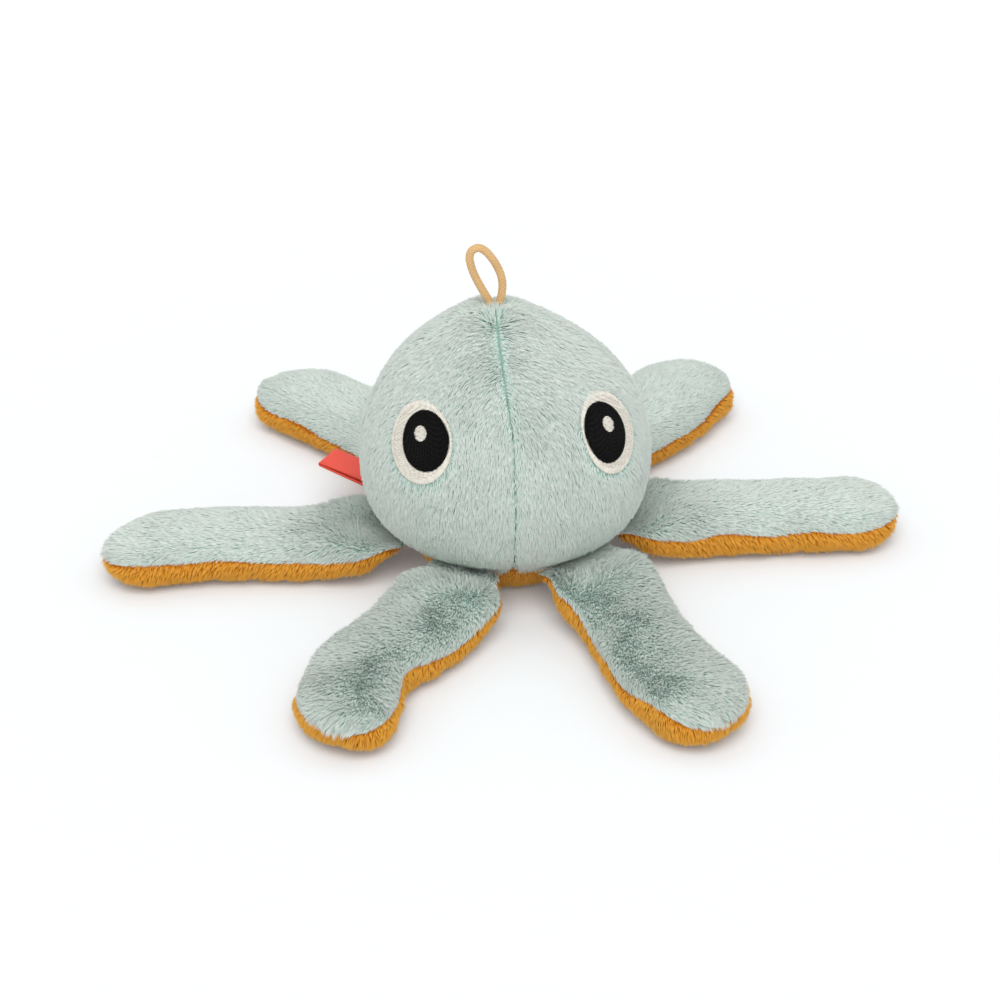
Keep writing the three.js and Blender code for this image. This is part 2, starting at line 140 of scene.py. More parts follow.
# Hanging loop: the middle of the cord, in mm across and up from the crown
CORD_RADIUS = 1.2 * MM
LOOP_ROUTE = [
    (-1.5, 0), (-2.4, 1.8), (-3.6, 4), (-5, 6.8), (-6.2, 9.6), (-7, 12.3), (-7.3, 14.6), (-6.6, 16.6),
    (-4.7, 17.4), (-2.7, 16.3), (-0.9, 14.1), (0.7, 11.3), (1.8, 8.4), (2.2, 5.5), (2, 2.7), (1.4, 0),
]

# Ribbon tag
TAG_AZIMUTH = 148  # degrees
TAG_PITCH = 11
TAG_LENGTH = 30 * MM
TAG_WIDTH = 10 * MM
RIBBON = 0.5 * MM
FOLD_GAP = 0.4 * MM

# Sizes that follow from those above
HEAD_CENTRE = SEAM_HEIGHT + SEAM_DROP
SEAM_REACH_IN = HEAD_RADIUS - SEAM_TUCK
SEAM_POLAR = math.acos(-SEAM_DROP / SEAM_REACH_IN)
SEAM_RADIUS = SEAM_REACH_IN * math.sin(SEAM_POLAR)
CROWN_POLAR = math.asin(CROWN_HOLE / (HEAD_RADIUS + CROWN_RISE))
CROWN_HEIGHT = HEAD_CENTRE + (HEAD_RADIUS + CROWN_RISE) * math.cos(CROWN_POLAR)


def lerp(low, high, share):
    return low + (high - low) * share


def smoothstep(x, low, high):
    share = np.clip((x - low) / (high - low), 0, 1)
    return share * share * (3 - 2 * share)


def hump(x, middle, spread):
    """1 in the middle, and next to nothing from two spreads away."""
    return np.exp(-(((x - middle) / spread) ** 2))


def unit(vectors):
    return vectors / np.maximum(np.linalg.norm(vectors, axis=-1, keepdims=True), 1e-12)


def lumps(points, size, seed):
    """Smooth unevenness from -1 to 1, of one size, at each point."""
    shift = Vector((seed, 0, 0))
    values = [noise.noise(Vector(p) / size + shift) for p in points.reshape(-1, 3)]
    return np.array(values).reshape(points.shape[:-1])


def turned_to(azimuth, out, side, up):
    """Places out from the middle of the base, to the side and up, turned to an azimuth in degrees."""
    turn = math.radians(azimuth)
    cosine, sine = math.cos(turn), math.sin(turn)
    return np.stack([out * cosine - side * sine, out * sine + side * cosine, up], axis=-1)


# Camera
CAMERA_RISE = 29.5  # degrees above the table
CAMERA_TURN = -4  # degrees round from the front seam
CAMERA_DISTANCE = 0.9
CAMERA_LENS = 108.5
AIM_BELOW = 14.9 * MM  # of the middle of the head, as the camera sees it
AIM_BESIDE = -1.5 * MM


def make_camera():
    data = bpy.data.cameras.new("camera")
    data.lens = CAMERA_LENS
    camera = bpy.data.objects.new("camera", data)
    bpy.context.scene.collection.objects.link(camera)
    rise = math.radians(CAMERA_RISE)
    turn = math.radians(CAMERA_TURN)
    back = Vector((math.sin(turn) * math.cos(rise), -math.cos(turn) * math.cos(rise), math.sin(rise)))
    look = (-back).to_track_quat("-Z", "Y")
    aim = Vector((0, 0, HEAD_CENTRE)) + look @ Vector((AIM_BESIDE, -AIM_BELOW, 0))
    camera.location = aim + back * CAMERA_DISTANCE
    camera.rotation_euler = look.to_euler()
    bpy.context.scene.camera = camera


make_camera()


# Node trees, for materials and for what repeats
def is_vector(value):
    if isinstance(value, Wire):
        return value.output.type in ("VECTOR", "RGBA")
    return isinstance(value, tuple)


def named_socket(sockets, key):
    if isinstance(key, int):
        return sockets[key]
    return next(s for s in sockets if s.name == key and s.enabled)


class Wire:
    """One output of a node. Arithmetic on wires adds the nodes that work it out."""

    def __init__(self, graph, node, output):
        self.graph = graph
        self.node = node
        self.output = output

    def of(self, name):
        return Wire(self.graph, self.node, named_socket(self.node.outputs, name))

    def pair(self, operation, first, second):
        if not is_vector(first) and not is_vector(second):
            return self.graph.math(operation, first, second)
        if operation == "MULTIPLY" and not (is_vector(first) and is_vector(second)):
            vector, share = (first, second) if is_vector(first) else (second, first)
            return self.graph.add("ShaderNodeVectorMath", {"operation": "SCALE"}, {
                0: vector, "Scale": share,
            })
        return self.graph.vector_math(operation, first, second)

    def __add__(self, other):
        return self.pair("ADD", self, other)

    def __radd__(self, other):
        return self.pair("ADD", other, self)

    def __sub__(self, other):
        return self.pair("SUBTRACT", self, other)

    def __rsub__(self, other):
        return self.pair("SUBTRACT", other, self)

    def __mul__(self, other):
        return self.pair("MULTIPLY", self, other)

    def __rmul__(self, other):
        return self.pair("MULTIPLY", other, self)

    def __rtruediv__(self, other):
        return self.pair("DIVIDE", other, self)


class Graph:
    """A node tree that grows by one method. The others are short forms of it."""

    def __init__(self, tree):
        self.tree = tree

    def add(self, kind, settings=None, inputs=None):
        node = self.tree.nodes.new(kind)
        for name, value in (settings or {}).items():
            setattr(node, name, value)
        for key, value in (inputs or {}).items():
            socket = named_socket(node.inputs, key)
            if isinstance(value, Wire):
                self.tree.links.new(value.output, socket)
            else:
                socket.default_value = value
        shown = [s for s in node.outputs if s.enabled]
        return Wire(self, node, shown[0] if shown else None)

    def math(self, operation, *sides):
        return self.add("ShaderNodeMath", {"operation": operation}, dict(enumerate(sides)))

    def vector_math(self, operation, *sides):
        return self.add("ShaderNodeVectorMath", {"operation": operation}, dict(enumerate(sides)))

    def split(self, vector):
        return self.add("ShaderNodeSeparateXYZ", {}, {0: vector})

    def join(self, x, y, z):
        return self.add("ShaderNodeCombineXYZ", {}, {"X": x, "Y": y, "Z": z})

    def mix(self, share, first, second):
        return self.add("ShaderNodeMix", {"data_type": "RGBA"}, {"Factor": share, "A": first, "B": second})

    def spread(self, value, low, high, new_low=0.0, new_high=1.0):
        ends = {"Value": value, "From Min": low, "From Max": high, "To Min": new_low, "To Max": new_high}
        return self.add("ShaderNodeMapRange", {}, ends)

    def noise(self, place, size, detail=2.0):
        return self.add("ShaderNodeTexNoise", {}, {"Vector": place, "Scale": 1 / size, "Detail": detail})

    def chance(self, seed):
        return self.add("FunctionNodeRandomValue", {"data_type": "FLOAT"}, {"Seed": seed})


def rgb(red, green, blue):
    """A colour as a screen shows it, from 0 to 255, in linear light."""
    def linear(value):
        share = value / 255
        return share / 12.92 if share <= 0.04045 else ((share + 0.055) / 1.055) ** 2.4
    return (linear(red), linear(green), linear(blue), 1.0)


# Materials
BAKE_MAP = "OFBake"
FOOT_TO_ROOT = (0.0, 0.16)  # shares of the height of a lock over which it pales from painted shade at its foot
ROOT_TO_BODY = (0.1, 0.45)
BODY_TO_TIP = (0.4, 1.0)
LOCK_TONES = (0.9, 1.05)  # the darkest and the palest lock, as shares of the colour
KNIT_LOOP = 0.8 * MM
SEAM_PAINTED_SHADE = 0.6  # painted shade: how much darker the cloth is painted in a seam
TWIST_BANDS = 60.0  # radians of twist along a stitch
TWIST_SHIFT = 90.0  # and from one stitch to another
TWIST_SHADE = 0.25
CREST_SHADE = 0.55
RIB_PITCH = 0.45 * MM
WARP_PITCH = 0.3 * MM
RIB_SHADE = 0.6


def material(name, **constants):
    """A material with one shader, its graph, and a function that links the shader's sockets."""
    made = bpy.data.materials.new(name)
    made.use_nodes = True
    shader = made.node_tree.nodes["Principled BSDF"]
    for label, value in constants.items():
        shader.inputs[label.replace("_", " ").title().replace("Ior", "IOR")].default_value = value

    def feed(label, wire):
        made.node_tree.links.new(wire.output, shader.inputs[label])

    return made, Graph(made.node_tree), feed


def bake_place(g):
    """The tone of a lock or stitch, and the height up it."""
    place = g.split(g.add("ShaderNodeUVMap", {"uv_map": BAKE_MAP}))
    return place.of("X"), place.of("Y")


def object_place(g):
    return g.add("ShaderNodeTexCoord").of("Object")


def mesh_field(g, name):
    return g.add("ShaderNodeAttribute", {"attribute_name": name})


def bumped(g, height, strength, depth):
    return g.add("ShaderNodeBump", {}, {"Strength": strength, "Distance": depth, "Height": height})


def plush_pile(name, foot, shaded_root, body, tip, sheen):
    """Pile that goes from a foot and root darkened as painted shade deep in the pile to a paler tip, with
    no two locks quite alike.
    """
    made, g, feed = material(
        name, roughness=0.8, sheen_weight=sheen, sheen_roughness=0.45, specular_ior_level=0.1,
    )
    tone, height = bake_place(g)
    deep_shade = g.mix(g.spread(height, *FOOT_TO_ROOT), rgb(*foot), rgb(*shaded_root))
    lower = g.mix(g.spread(height, *ROOT_TO_BODY), deep_shade, rgb(*body))
    whole = g.mix(g.spread(height, *BODY_TO_TIP), lower, rgb(*tip))
    feed("Base Color", whole * g.spread(tone, 0.0, 1.0, *LOCK_TONES))
    return made


def knit(name, dark, pale):
    """The cloth under pile or stitches, with painted shade down in a seam."""
    made, g, feed = material(name, roughness=0.9)
    loops = g.noise(object_place(g), KNIT_LOOP)
    seam = mesh_field(g, "seam").of("Fac")
    feed("Base Color", g.mix(loops, rgb(*dark), rgb(*pale)) * (1 - SEAM_PAINTED_SHADE * seam))
    feed("Normal", bumped(g, loops, 0.4, 0.2 * MM))
    return made


def thread(name, dark, pale, roughness, gloss):
    """Embroidery thread, with its twist painted as bands of light and shade along each stitch."""
    made, g, feed = material(name, specular_ior_level=gloss)
    tone, height = bake_place(g)
    twist = g.math("SINE", height * TWIST_BANDS + tone * TWIST_SHIFT)
    shade = g.spread(tone, 0.0, 1.0, 0.0, 1 - TWIST_SHADE) + g.spread(twist, -1.0, 1.0, 0.0, TWIST_SHADE)
    feed("Base Color", g.mix(shade, rgb(*dark), rgb(*pale)))
    feed("Roughness", g.spread(twist, -1.0, 1.0, roughness + 0.12, roughness))
    return made


def elastic_cover(name, dark, pale):
    """The braided cover of the elastic cord, with painted shade in its grooves. Its grooves are a field on
    the mesh.
    """
    made, g, feed = material(name, sheen_weight=0.12, specular_ior_level=0.35)
    crest = mesh_field(g, "crest").of("Fac")
    rub = g.noise(object_place(g), 3 * MM)
    feed("Base Color", g.mix(crest * CREST_SHADE + rub * (1 - CREST_SHADE), rgb(*dark), rgb(*pale)))
    feed("Roughness", g.spread(crest, 0.0, 1.0, 0.75, 0.5))
    return made


def woven_ribbon(name, dark, pale):
    """Ribbon with ribs across it and finer warp threads along it, painted as bands of light and shade and
    bumped. Its weave is a field on the mesh.
    """
    made, g, feed = material(name, sheen_weight=0.08, specular_ior_level=0.4)
    place = g.split(mesh_field(g, "weave").of("Vector"))
    ribs = g.math("SINE", place.of("Y") * (2 * math.pi / RIB_PITCH))
    warp = g.math("SINE", place.of("X") * (2 * math.pi / WARP_PITCH))
    weave = g.spread(ribs, -1.0, 1.0, 0.0, RIB_SHADE)
    weave = weave + g.spread(warp * ribs, -1.0, 1.0, 0.0, 1 - RIB_SHADE)
    rub = g.noise(object_place(g), 4 * MM, 3.0)
    feed("Base Color", g.mix(weave * 0.6 + rub * 0.4, rgb(*dark), rgb(*pale)))
    feed("Roughness", g.spread(weave, 0.0, 1.0, 0.65, 0.42))
    feed("Normal", bumped(g, weave, 0.5, 0.08 * MM))
    return made


def carded_fibre(name, dark, pale):
    """Polyester filling: wisps that run every way."""
    made, g, feed = material(name, roughness=0.85, sheen_weight=0.2)
    place = object_place(g)
    swirl = g.noise(place, 9 * MM, 1.0).of("Color")
    wisps = g.noise(place + swirl * (6 * MM), 1.4 * MM, 5.0)
    feed("Base Color", g.mix(wisps, rgb(*dark), rgb(*pale)))
    feed("Normal", bumped(g, wisps, 0.7, 0.6 * MM))
    return made


def moulded_plastic(name, dark, pale, roughness):
    """Plain moulded plastic with a faint mould texture and handling marks."""
    made, g, feed = material(name, specular_ior_level=0.5)
    place = object_place(g)
    clouds = g.noise(place, 8 * MM)
    grain = g.noise(place, 0.25 * MM, 1.0)
    feed("Base Color", g.mix(clouds, rgb(*dark), rgb(*pale)))
    feed("Roughness", g.spread(clouds, 0.3, 0.7, roughness - 0.06, roughness + 0.1))
    feed("Normal", bumped(g, grain, 0.15, 0.02 * MM))
    return made


Plush = namedtuple("Plush", ("slot", "pile", "cloth"))
# The darker foot and root colours of each pile are painted shade deep in the pile
MINT = Plush(
    "mint_plush",
    plush_pile("mint_pile", (112, 150, 140), (164, 206, 194), (220, 231, 223), (232, 240, 233), 0.15),
    knit("mint_knit", (152, 178, 169), (182, 204, 195)),
)
MUSTARD = Plush(
    "mustard_plush",
    plush_pile("mustard_pile", (140, 72, 8), (182, 100, 16), (244, 166, 50), (253, 198, 96), 0.1),
    knit("mustard_knit", (190, 108, 12), (214, 134, 28)),
)
WHITE_KNIT = knit("white_underlay", (176, 170, 157), (206, 200, 187))
BLACK_KNIT = knit("black_underlay", (6, 6, 6), (12, 12, 11))
WHITE_THREAD = thread("white_thread", (214, 208, 196), (244, 239, 229), 0.5, 0.3)
BLACK_THREAD = thread("black_thread", (5, 5, 5), (14, 14, 13), 0.65, 0.08)
TACK_THREAD = thread("tack_thread", (150, 158, 146), (182, 190, 178), 0.6, 0.2)
CORD_COVER = elastic_cover("cord_cover", (190, 144, 88), (232, 192, 138))
RED_RIBBON = woven_ribbon("red_ribbon", (222, 54, 38), (254, 98, 76))
FILLING = carded_fibre("filling_fibre", (206, 206, 200), (244, 244, 240))
CAPSULE_PLASTIC = moulded_plastic("capsule_plastic", (226, 226, 220), (240, 240, 234), 0.35)
BALL_PLASTIC = moulded_plastic("ball_plastic", (206, 206, 198), (232, 232, 226), 0.3)


# Meshes
def linked(name, mesh):
    made = bpy.data.objects.new(name, mesh)
    bpy.context.scene.collection.objects.link(made)
    return made


def grid_faces(rows, columns, flip, wrap=False):
    faces = []
    spans = columns if wrap else columns - 1
    for i in range(rows - 1):
        for j in range(spans):
            k = (j + 1) % columns
            quad = [i * columns + j, (i + 1) * columns + j, (i + 1) * columns + k, i * columns + k]
            faces.append(quad[::-1] if flip else quad)
    return faces


def weld(mesh, near=0.02 * MM):
    work = bmesh.new()
    work.from_mesh(mesh)
    bmesh.ops.remove_doubles(work, verts=work.verts, dist=near)
    bmesh.ops.dissolve_degenerate(work, edges=work.edges, dist=near / 10)
    work.to_mesh(mesh)
    work.free()


def keep_field(mesh, label, values):
    """Stores a number or a vector for each point of a mesh."""
    if values.shape[-1:] == (3,) and values.size == 3 * len(mesh.vertices):
        made = mesh.attributes.new(label, "FLOAT_VECTOR", "POINT")
        made.data.foreach_set("vector", values.astype(np.float32).ravel())
    else:
        made = mesh.attributes.new(label, "FLOAT", "POINT")
        made.data.foreach_set("value", values.astype(np.float32).ravel())


def surface(name, points, flip=False, wrap=False, **fields):
    """A sheet through a grid of points, with named fields on its points."""
    rows, columns = points.shape[:2]
    mesh = bpy.data.meshes.new(name)
    mesh.from_pydata(points.reshape(-1, 3).tolist(), [], grid_faces(rows, columns, flip, wrap))
    for label, values in fields.items():
        keep_field(mesh, label, values)
    weld(mesh)
    mesh.polygons.foreach_set("use_smooth", [True] * len(mesh.polygons))
    return linked(name, mesh)


def evaluated_mesh(piece):
    depsgraph = bpy.context.evaluated_depsgraph_get()
    return bpy.data.meshes.new_from_object(piece.evaluated_get(depsgraph), depsgraph=depsgraph)


def applied(piece):
    """The same piece with its modifiers made part of its mesh."""
    mesh = evaluated_mesh(piece)
    piece.modifiers.clear()
    old = piece.data
    piece.data = mesh
    bpy.data.meshes.remove(old)
    return piece


def thickened(piece, thickness, offset):
    """Cloth or ribbon of a thickness, inwards at an offset of -1 and both ways at 0."""
    modifier = piece.modifiers.new("thickness", "SOLIDIFY")
    modifier.thickness = thickness
    modifier.offset = offset
    return applied(piece)


# Hanging loop
CORD_ROWS = 400
CORD_COLUMNS = 72
DOME_ROWS = 6
KNOT_STEPS = 24
BRAID_STRANDS = 6  # each way round
BRAID_TURN = 0.8 / MM  # radians along the cord
BRAID_RELIEF = 0.07 * MM


def centripetal_line(knots, count):
    """Evenly spaced points on the centripetal spline through the knots, and its length."""
    knots = [2 * knots[0] - knots[1], *knots, 2 * knots[-1] - knots[-2]]
    line = []
    for p0, p1, p2, p3 in zip(knots, knots[1:], knots[2:], knots[3:]):
        t1 = np.linalg.norm(p1 - p0) ** 0.5
        t2 = t1 + np.linalg.norm(p2 - p1) ** 0.5
        t3 = t2 + np.linalg.norm(p3 - p2) ** 0.5
        t = np.linspace(t1, t2, KNOT_STEPS, endpoint=False)[:, None]
        a1 = (t1 - t) / t1 * p0 + t / t1 * p1
        a2 = (t2 - t) / (t2 - t1) * p1 + (t - t1) / (t2 - t1) * p2
        a3 = (t3 - t) / (t3 - t2) * p2 + (t - t2) / (t3 - t2) * p3
        b1 = (t2 - t) / t2 * a1 + t / t2 * a2
        b2 = (t3 - t) / (t3 - t1) * a2 + (t - t1) / (t3 - t1) * a3
        line.extend((t2 - t) / (t2 - t1) * b1 + (t - t1) / (t2 - t1) * b2)
    line = np.array([*line, knots[-2]])
    far = np.concatenate([[0], np.cumsum(np.linalg.norm(np.diff(line, axis=0), axis=1))])
    even = np.linspace(0, far[-1], count)
    return np.stack([np.interp(even, far, line[:, k]) for k in range(3)], axis=-1), far[-1]


def make_loop():
    knots = [np.array([CROWN_LEAN + x * MM, 0, CROWN_HEIGHT + z * MM]) for x, z in LOOP_ROUTE]
    line, length = centripetal_line(knots, CORD_ROWS)
    along = unit(np.gradient(line, axis=0))
    beside = np.array([0.0, 1.0, 0.0])
    over = np.cross(along, beside)
    far = np.linspace(0, length, CORD_ROWS)[:, None]
    turn = np.linspace(0, 2 * math.pi, CORD_COLUMNS, endpoint=False)[None, :]
    left = BRAID_STRANDS * (turn + BRAID_TURN * far)
    right = BRAID_STRANDS * (turn - BRAID_TURN * far)
    # crest is 1 on top of a strand and 0 in a groove: it shapes the relief, and in the cord's colour it
    # paints shade into the grooves
    on_top = 0.5 + 0.5 * np.cos((left + right) / 2) * np.cos((left - right) / 2)
    crest = on_top * np.abs(np.cos(left / 2)) + (1 - on_top) * np.abs(np.cos(right / 2))
    round_way = np.cos(turn)[..., None] * beside + np.sin(turn)[..., None] * over[:, None, :]
    ring = line[:, None, :] + round_way * (CORD_RADIUS - BRAID_RELIEF * (1 - crest))[..., None]

    def domed(end, way):
        """Rings that close an end of the cord."""
        slopes = np.linspace(0, math.pi / 2, DOME_ROWS + 1)[1:]
        rings = [np.cos(a) * round_way[end] + np.sin(a) * way for a in slopes]
        return [line[end] + CORD_RADIUS * r for r in rings]

    points = np.concatenate([domed(0, -along[0])[::-1], ring, domed(-1, along[-1])])
    smooth = np.ones((DOME_ROWS, CORD_COLUMNS))
    piece = surface("hanging_loop_cord", points, wrap=True, crest=np.concatenate([smooth, crest, smooth]))
    piece.data.materials.append(CORD_COVER)
    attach(piece, "loop")
    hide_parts("hanging_loop")


make_loop()


# What grows on a surface or follows a path
class Grower:
    """A Geometry Nodes tree with named inputs, and what it makes of an object."""

    def __init__(self, name, inputs):
        self.tree = bpy.data.node_groups.new(name, "GeometryNodeTree")
        self.keys = {}
        for label, (kind, value) in inputs.items():
            kind = "NodeSocket" + kind
            socket = self.tree.interface.new_socket(label, in_out="INPUT", socket_type=kind)
            self.keys[label] = socket.identifier
            if value is not None:
                socket.default_value = value
        self.tree.interface.new_socket("Geometry", in_out="OUTPUT", socket_type="NodeSocketGeometry")
        self.graph = Graph(self.tree)
        self.given = self.graph.add("NodeGroupInput")

    def end(self, geometry, look):
        dressed = self.graph.add("GeometryNodeSetMaterial", {}, {"Geometry": geometry, "Material": look})
        self.graph.add("NodeGroupOutput", {}, {"Geometry": dressed})

    def grow(self, name, carrier, **values):
        modifier = carrier.modifiers.new("grower", "NODES")
        modifier.node_group = self.tree
        for label, value in values.items():
            modifier[self.keys[label.replace("_", " ").capitalize()]] = value
        mesh = evaluated_mesh(carrier)
        carrier.modifiers.remove(modifier)
        return linked(name, mesh)


MAP_WIDTH = 0.06  # of a lock or stitch on the map


def kept(g, geometry, name, kind, domain, value):
    """The geometry with a value stored on it under a name."""
    return g.add("GeometryNodeStoreNamedAttribute", {"data_type": kind, "domain": domain}, {
        "Geometry": geometry, "Name": name, "Value": value,
    })


def dropped(g, geometry, names):
    """The geometry without the values that only its making needed."""
    for name in names:
        geometry = g.add("GeometryNodeRemoveAttribute", {}, {"Geometry": geometry, "Name": name})
    return geometry


def field(g, name, kind="FLOAT"):
    return g.add("GeometryNodeInputNamedAttribute", {"data_type": kind}, {"Name": name})


def with_bake_map(g, geometry):
    """A map from the tone of each lock or stitch, a little wider than a line, and the height up it."""
    spot = g.join(field(g, "tone") + MAP_WIDTH * field(g, "side"), field(g, "height"), 0.0)
    return kept(g, geometry, BAKE_MAP, "FLOAT2", "CORNER", spot)


def aimed(g, along, up):
    """The turn that lays a shape's Z along one way, with its Y towards another."""
    return g.add("FunctionNodeAxesToRotation", {"primary_axis": "Z", "secondary_axis": "Y"}, {
        "Primary Axis": along, "Secondary Axis": up,
    })


def copies(g, points, shape, turn, size):
    laid = g.add("GeometryNodeInstanceOnPoints", {}, {
        "Points": points, "Instance": shape, "Rotation": turn, "Scale": size,
    })
    return g.add("GeometryNodeRealizeInstances", {}, {"Geometry": laid})


# Pile
SOFT_SHADE = 0.7  # how far a lock shades as the cloth that it grows on
RIDGE_UP = math.radians(-30)  # how a lock with three sides is rolled about itself
SIDE_UP = math.radians(30)
SLOW_SWIRL = 11 * MM  # sizes of the swirls in the nap
FAST_SWIRL = 1.6 * MM
SLOW_STRENGTH = 2.4  # of the slow swirls, against the fast ones
STAND_SHARES = (0.7, 0.35, 0.25)  # the least, and what is added by tuft and by lock
LENGTH_SHARES = (0.78, 0.22, 0.2)
TONE_SHARES = (0.45, 0.3, 0.5)  # how far tones differ by tuft, by lock and by patch
TONE_PATCH = 16 * MM
TONE_ENDS = (0.04, 0.96)
PRESSED = 0.1 * MM  # the pile under the toy ends this high above the table
MIDDLE_GREY = (0.5, 0.5, 0.5)


def make_pile_grower():
    """Locks of pile on a cloth, that lie along its nap and gather into small tufts."""
    grower = Grower("pile", {
        "Geometry": ("Geometry", None),
        "Density": ("Float", 7.0e6),
        "Length": ("Float", 3.4 * MM),
        "Width": ("Float", 0.32 * MM),
        "Stand": ("Float", 0.45),
        "Tousle": ("Float", 0.3),
        "Tuft": ("Float", 0.9 * MM),
        "Gather": ("Float", 0.4),
        "Roll": ("Float", RIDGE_UP),
        "Twist": ("Float", 0.0),
        "Seed": ("Int", 1),
        "Look": ("Material", None),
    })
    g = grower.graph
    given = grower.given
    spots = g.add("GeometryNodeDistributePointsOnFaces", {"distribute_method": "RANDOM"}, {
        "Mesh": given.of("Geometry"),
        "Density": given.of("Density") * field(g, "cover"),
        "Seed": given.of("Seed"),
    })
    out = spots.of("Normal")
    place = g.add("GeometryNodeInputPosition")
    chance = [g.chance(given.of("Seed") + n) for n in range(3)]
    stray = g.add("FunctionNodeRandomValue", {"data_type": "FLOAT_VECTOR"}, {
        "Min": (-1, -1, -1), "Max": (1, 1, 1), "Seed": given.of("Seed") + 3,
    })

    # The nap, turned a little by slow swirls and fast ones, and laid in the plane of the cloth
    slow = g.noise(place, SLOW_SWIRL, 1.0).of("Color") - MIDDLE_GREY
    fast = g.noise(place, FAST_SWIRL, 1.0).of("Color") - MIDDLE_GREY
    swirl = slow * (given.of("Tousle") * SLOW_STRENGTH) + fast * given.of("Tousle")
    way = field(g, "nap", "FLOAT_VECTOR") + swirl
    flat = g.vector_math("NORMALIZE", way - out * g.vector_math("DOT_PRODUCT", way, out).of("Value"))

    # Each tuft has its own centre, which its locks lean to, and its own stand, length and tone
    tufts = g.add("ShaderNodeTexVoronoi", {}, {"Vector": place, "Scale": 1 / given.of("Tuft")})
    tuft_chance = g.split(tufts.of("Color"))

    def varied(shares, axis, lock_chance):
        least, by_tuft, by_lock = shares
        return least + by_tuft * tuft_chance.of(axis) + by_lock * lock_chance

    stand = given.of("Stand") * field(g, "rise") * varied(STAND_SHARES, "X", chance[0])
    long = given.of("Length") * field(g, "length") * varied(LENGTH_SHARES, "Y", chance[1])
    lean = g.vector_math("NORMALIZE", out * stand + flat * (1 - stand))
    reach = lean * long + (tufts.of("Position") - place) * given.of("Gather")
    span = g.vector_math("LENGTH", reach).of("Value")

    by_tuft, by_lock, by_patch = TONE_SHARES
    patch = g.noise(place, TONE_PATCH, 1.0)
    tone = 0.5 + by_tuft * (tuft_chance.of("Z") - 0.5) + by_lock * (chance[2] - 0.5)
    tone = tone + by_patch * (patch - 0.5)
    tone = g.add("ShaderNodeClamp", {}, {"Value": tone, "Min": TONE_ENDS[0], "Max": TONE_ENDS[1]})
    spots = kept(g, spots, "tone", "FLOAT", "POINT", tone)
    spots = kept(g, spots, "soft", "FLOAT_VECTOR", "POINT", out)

    # One lock: a slim spike, one unit long, with three sides
    spike = g.add("GeometryNodeMeshCone", {"fill_type": "NONE"}, {
        "Vertices": 3, "Side Segments": 1, "Radius Top": 0.0, "Radius Bottom": 0.5, "Depth": 1.0,
    })
    spike = g.add("GeometryNodeTransform", {}, {
        "Geometry": spike, "Rotation": g.join(0.0, 0.0, given.of("Roll")),
    })
    up = g.split(g.add("GeometryNodeInputPosition"))
    spike = kept(g, spike, "height", "FLOAT", "POINT", up.of("Z"))
    spike = kept(g, spike, "side", "FLOAT", "POINT", up.of("X"))
    turn = aimed(g, reach, out + stray * given.of("Twist"))
    pile = copies(g, spots, spike, turn, g.join(given.of("Width"), given.of("Width"), span))

    # Pressed flat where the toy rests on the table
    xyz = g.split(g.add("GeometryNodeInputPosition"))
    pressed = g.join(xyz.of("X"), xyz.of("Y"), g.math("MAXIMUM", xyz.of("Z"), PRESSED))
    pile = g.add("GeometryNodeSetPosition", {}, {"Geometry": pile, "Position": pressed})
    pile = with_bake_map(g, pile)

    # Light passes through real pile, so each lock shades partly as the cloth that it grows on
    own = g.add("GeometryNodeInputNormal") * (1 - SOFT_SHADE)
    shade = g.vector_math("NORMALIZE", own + field(g, "soft", "FLOAT_VECTOR") * SOFT_SHADE)
    pile = g.add("GeometryNodeSetShadeSmooth", {}, {"Geometry": pile, "Shade Smooth": False})
    pile = g.add("GeometryNodeSetMeshNormal", {"mode": "TANGENT_SPACE"}, {
        "Mesh": pile, "Custom Normal": shade,
    })
    names = ("height", "side", "tone", "soft", "nap", "cover", "length", "rise", "seam")
    grower.end(dropped(g, pile, names), given.of("Look"))
    return grower


PILE_GROWER = make_pile_grower()


def plush_panel(name, node, body, plush, skin, seed, fill, bend, **pile):
    """A stuffed panel: its cloth, which stands for a solid, and its pile. Given a bend, both are left
    unattached, with their place made part of their meshes.
    """
    locks = PILE_GROWER.grow(name + "_pile", skin, seed=seed, look=plush.pile, **pile)
    skin.data.materials.append(plush.cloth)
    thickened(skin, CLOTH, -1)
    skin.name = name + "_cloth"
    for piece in (skin, locks):
        if bend:
            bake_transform(piece)
        else:
            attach(piece, body)
    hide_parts(node)


# Head
def fade(angle, spread):
    return np.exp(-((angle * HEAD_RADIUS / spread) ** 2))


def head_reach(polar):
    crown = CROWN_RISE * fade(polar, CROWN_SPREAD)
    tuck = SEAM_TUCK * fade(SEAM_POLAR - polar, TUCK_SPREAD)
    return HEAD_RADIUS + crown - tuck


def seam_away(polar, azimuth):
    """Distance from the nearest gore seam."""
    turn = 2 * math.pi / len(GORES)
    off = azimuth / turn - np.round(azimuth / turn)
    return head_reach(polar) * np.sin(polar) * np.abs(np.sin(off * turn))


def head_points(polar, azimuth, depth):
    reach = head_reach(polar) - depth
    height = HEAD_CENTRE + reach * np.cos(polar)
    lean = CROWN_LEAN * smoothstep(height, HEAD_CENTRE + LEAN_FOOT, CROWN_HEIGHT)
    ring = reach * np.sin(polar)
    return np.stack([ring * np.cos(azimuth) + lean, ring * np.sin(azimuth), height], axis=-1)


